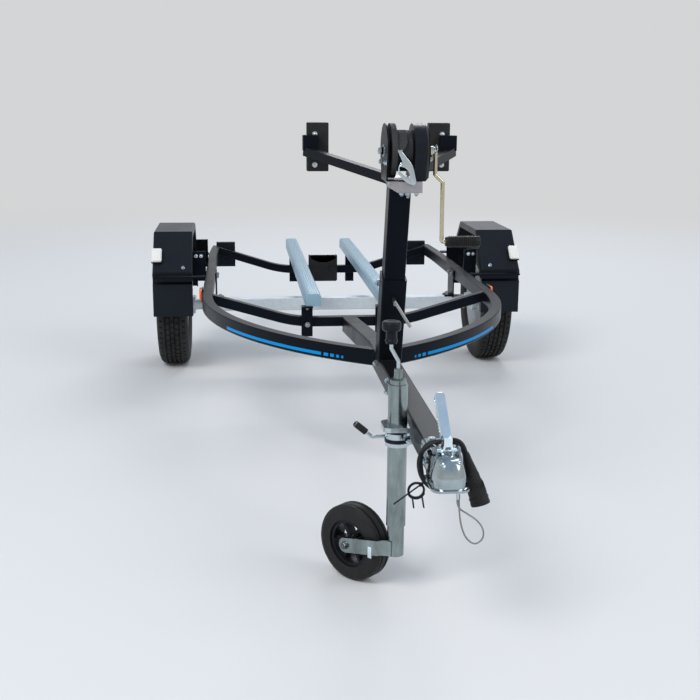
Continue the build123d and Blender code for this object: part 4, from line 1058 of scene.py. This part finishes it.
def makeLeverGrip():
    start = mm(*clampGrip["start"])
    axis = mm(*clampGrip["end"]) - start
    length = axis.length * 1000
    profile = [(-1, 0), (-1, 7.6), (0, 8.3), (3, 8.3), (4, 7.8)]
    for rib in range(clampGrip["ribs"]):
        foot = 6 + rib * clampGrip["pitch"]
        profile += [(foot, 7.7), (foot + 1, 8.4), (foot + 3, 8.4), (foot + 4, 7.7)]
    profile += [(length - 2, 8), (length, 7.2), (length + 1.6, 5), (length + 2, 0)]
    bm = bmesh.new()
    lathe(bm, profile, start, axis, 28)
    piece("clampLeverGrip", bm, "rubber")


makeLeverGrip()

knob = {
    "x": -79, "y": -2500, "neck": [(645, 14.2), (647, 15.6), (650, 15.6), (652, 14.2)],
    "line": [(682.5, 22.9), (683.3, 23.5), (684.5, 23.5), (685.3, 22.9)],
}


def makeKnobNeck():
    # the knob's waisted neck and the parting line round its head
    centre = mm(knob["x"], knob["y"], 0)
    bm = bmesh.new()
    lathe(bm, knob["neck"], centre, (0, 0, 1), 40, True)
    lathe(bm, knob["line"], centre, (0, 0, 1), 48, True)
    piece("knobLines", bm, "softPlastic", "jockey_leg")


makeKnobNeck()
print("jockey wheel made")


# Bolts and nuts

bolts("bowPadBolts", mirrored([((-198, -1620, z), (0, -1, 0), 8, 3) for z in (1101, 1008)]))
bolts("guardBolts", mirrored([
    ((-675, -320.4, 490), (0, -0.696, 0.718), 8, 0),
    *[((x, 208 * way, 525), (0, way, 0), 8, 3) for way in (-1, 1) for x in (-622, -600)],
    ((-700, 356, 460), (0, 0, 1), 8, 0), ((-760, 356, 460), (0, 0, 1), 8, 0),
]))
bolts("bunkPostBolts", [
    ((-171, -840, 341), (0, -1, 0), 10, 4), ((123, -840, 341), (0, -1, 0), 10, 4),
    ((-148, 640, 335), (0, 1, 0), 10, 4), ((146, 640, 335), (0, 1, 0), 10, 4),
    ((-171, -825, 406), (0, 0, -1), 8, 4), ((123, -825, 406), (0, 0, -1), 8, 4),
], "dullZinc")
bolts("axleBolts", mirrored([((-519, y, 330), (0, 0, 1), 9, 3) for y in (-126, -154)]
                            + [((-534, y, 428), (1, 0, 0), 10, 3) for y in (-110, -170)]), "dullZinc")
bolts("sleeveBolts", [
    ((-35, -1933, 690), (-1, 0, 0), 10, 6),
    *[((-30, y, z), (-1, 0, 0), 9, 3) for y, z in ((-2115, 447), (-1850, 432), (-2100, 410))],
])
bolts("bracketBolts", [
    ((-20, -2236, 975), (0, 0, -1), 7, 4), ((-4, -2236, 975), (0, 0, -1), 8, 8),
    ((18, -2236, 975), (0, 0, -1), 7, 4),
] + mirrored([((-31, -2060, 993), (-1, 0, 0), 7, 4), ((-31, -2110, 991), (-1, 0, 0), 7, 4)]))
bolts("clampPlateBolts", [((-36, y, z), (-1, 0, 0), 7, 4) for y in (-2530, -2470) for z in (425, 404)])
print("bolts made")


# Weld beads

weld = {
    "pool": 0.0032, "swell": (1.0, 0.86, 0.74),
    # the crossbeams' ends on the rails: distance along, low and high end, distance from the middle
    "cross": ((-800.4, 420, 455, 540), (-759.6, 420, 455, 540), (589.6, 418, 452, 529), (630.4, 418, 452, 529)),
}


def bead(bm, start, end, radius):
    # a run of small overlapping pools between two places
    start, end = mm(*start), mm(*end)
    count = max(4, int((end - start).length / weld["pool"]))
    data = rod("bead", [start.lerp(end, step / count) for step in range(count + 1)], radius, 1, kind="POLY")
    for step, point in enumerate(data.splines[0].points):
        point.radius = weld["swell"][step % 3]
    intoMesh(bm, data)


def makeWelds():
    bm = bmesh.new()
    for y in (-1931.5, -1858):
        bead(bm, (-29, y, 458.6), (29, y, 458.6), 3)
    for side in (-1, 1):
        bead(bm, (side * 30.4, -1931, 457.6), (side * 30.4, -1859, 457.6), 2.6)
        for y in (-1789.2, -1740.4):
            bead(bm, (side * 30.2, y, 410), (side * 30.2, y, 455), 2.8)
        bead(bm, (side * 30.4, -1788, 457.4), (side * 30.4, -1741, 457.4), 2.4)
        for y, low, high, reach in weld["cross"]:
            bead(bm, (side * reach, y, low), (side * reach, y, high), 2.6)
    piece("weldBeads", bm, "weld")


makeWelds()
print("welds made")


# Floor and light

studio = {
    "floorColour": (0.66, 0.655, 0.645), "floorSize": 90, "fade": (3.5, 9.0),
    "backdrop": (0.66, 0.665, 0.67), "sky": (0.40, 0.48, 0.60), "horizon": (0.16, 0.6), "strength": 0.95,
    # name, place, size in metres, power in watts
    "lamps": (("key", (-5.0, -6.0, 7.5), 4.5, 620), ("fill", (6.0, -5.0, 5.5), 4.5, 230),
              ("rear", (2.0, 8.0, 7.0), 4.5, 370)),
}


def makeFloor():
    # a pale floor that fades into the backdrop away from the object
    bpy.ops.mesh.primitive_plane_add(size=studio["floorSize"], location=(0, 0, 0))
    floor = bpy.context.object
    floor.name = "floor"
    g = Graph(bpy.data.materials.new("paleFloor"))
    g.set(Base_Color=studio["floorColour"], Roughness=0.85)
    x, y = g.axis(0), g.axis(1)
    away = g.add("ShaderNodeMath", {"operation": "SQRT"}, {0: x * x + y * y})
    near, far = studio["fade"]
    faded = g.add("ShaderNodeMapRange", {"interpolation_type": "SMOOTHSTEP"}, {0: away, 1: near, 2: far})
    glow = g.add("ShaderNodeEmission", {}, {"Color": studio["backdrop"], "Strength": 1.0})
    g.mixShader(faded, Wire(g, g.shader.outputs[0]), glow)
    floor.data.materials.append(g.owner)


def makeSky():
    # the pale backdrop, soft blue overhead, at its own strength where it only lights the object
    g = Graph(bpy.data.worlds.new("studio"), "Generated")
    bpy.context.scene.world = g.owner
    colour = g.ramp(g.axis(2), *zip(studio["horizon"], (studio["backdrop"], studio["sky"])))
    g.set(Color=colour)
    lit = g.add("ShaderNodeBackground", {}, {"Color": colour, "Strength": studio["strength"]})
    seen = g.add("ShaderNodeLightPath", {}, {}, "Is Camera Ray")
    for kind in ("Is Glossy Ray", "Is Transmission Ray"):
        other = g.add("ShaderNodeLightPath", {}, {}, kind)
        seen = g.add("ShaderNodeMath", {"operation": "MAXIMUM"}, {0: seen, 1: other})
    g.mixShader(seen, lit, Wire(g, g.shader.outputs[0]))


def makeLamps():
    for name, place, size, power in studio["lamps"]:
        data = bpy.data.lights.new(name, "AREA")
        data.size = size
        data.energy = power
        lamp = bpy.data.objects.new(name, data)
        intoScene(lamp)
        lamp.location = place
        lamp.rotation_euler = (Vector((0, 0, 0.5)) - Vector(place)).to_track_quat("-Z", "Y").to_euler()


makeFloor()
makeSky()
makeLamps()
bpy.context.scene.view_settings.view_transform = "Standard"
print("studio ready")
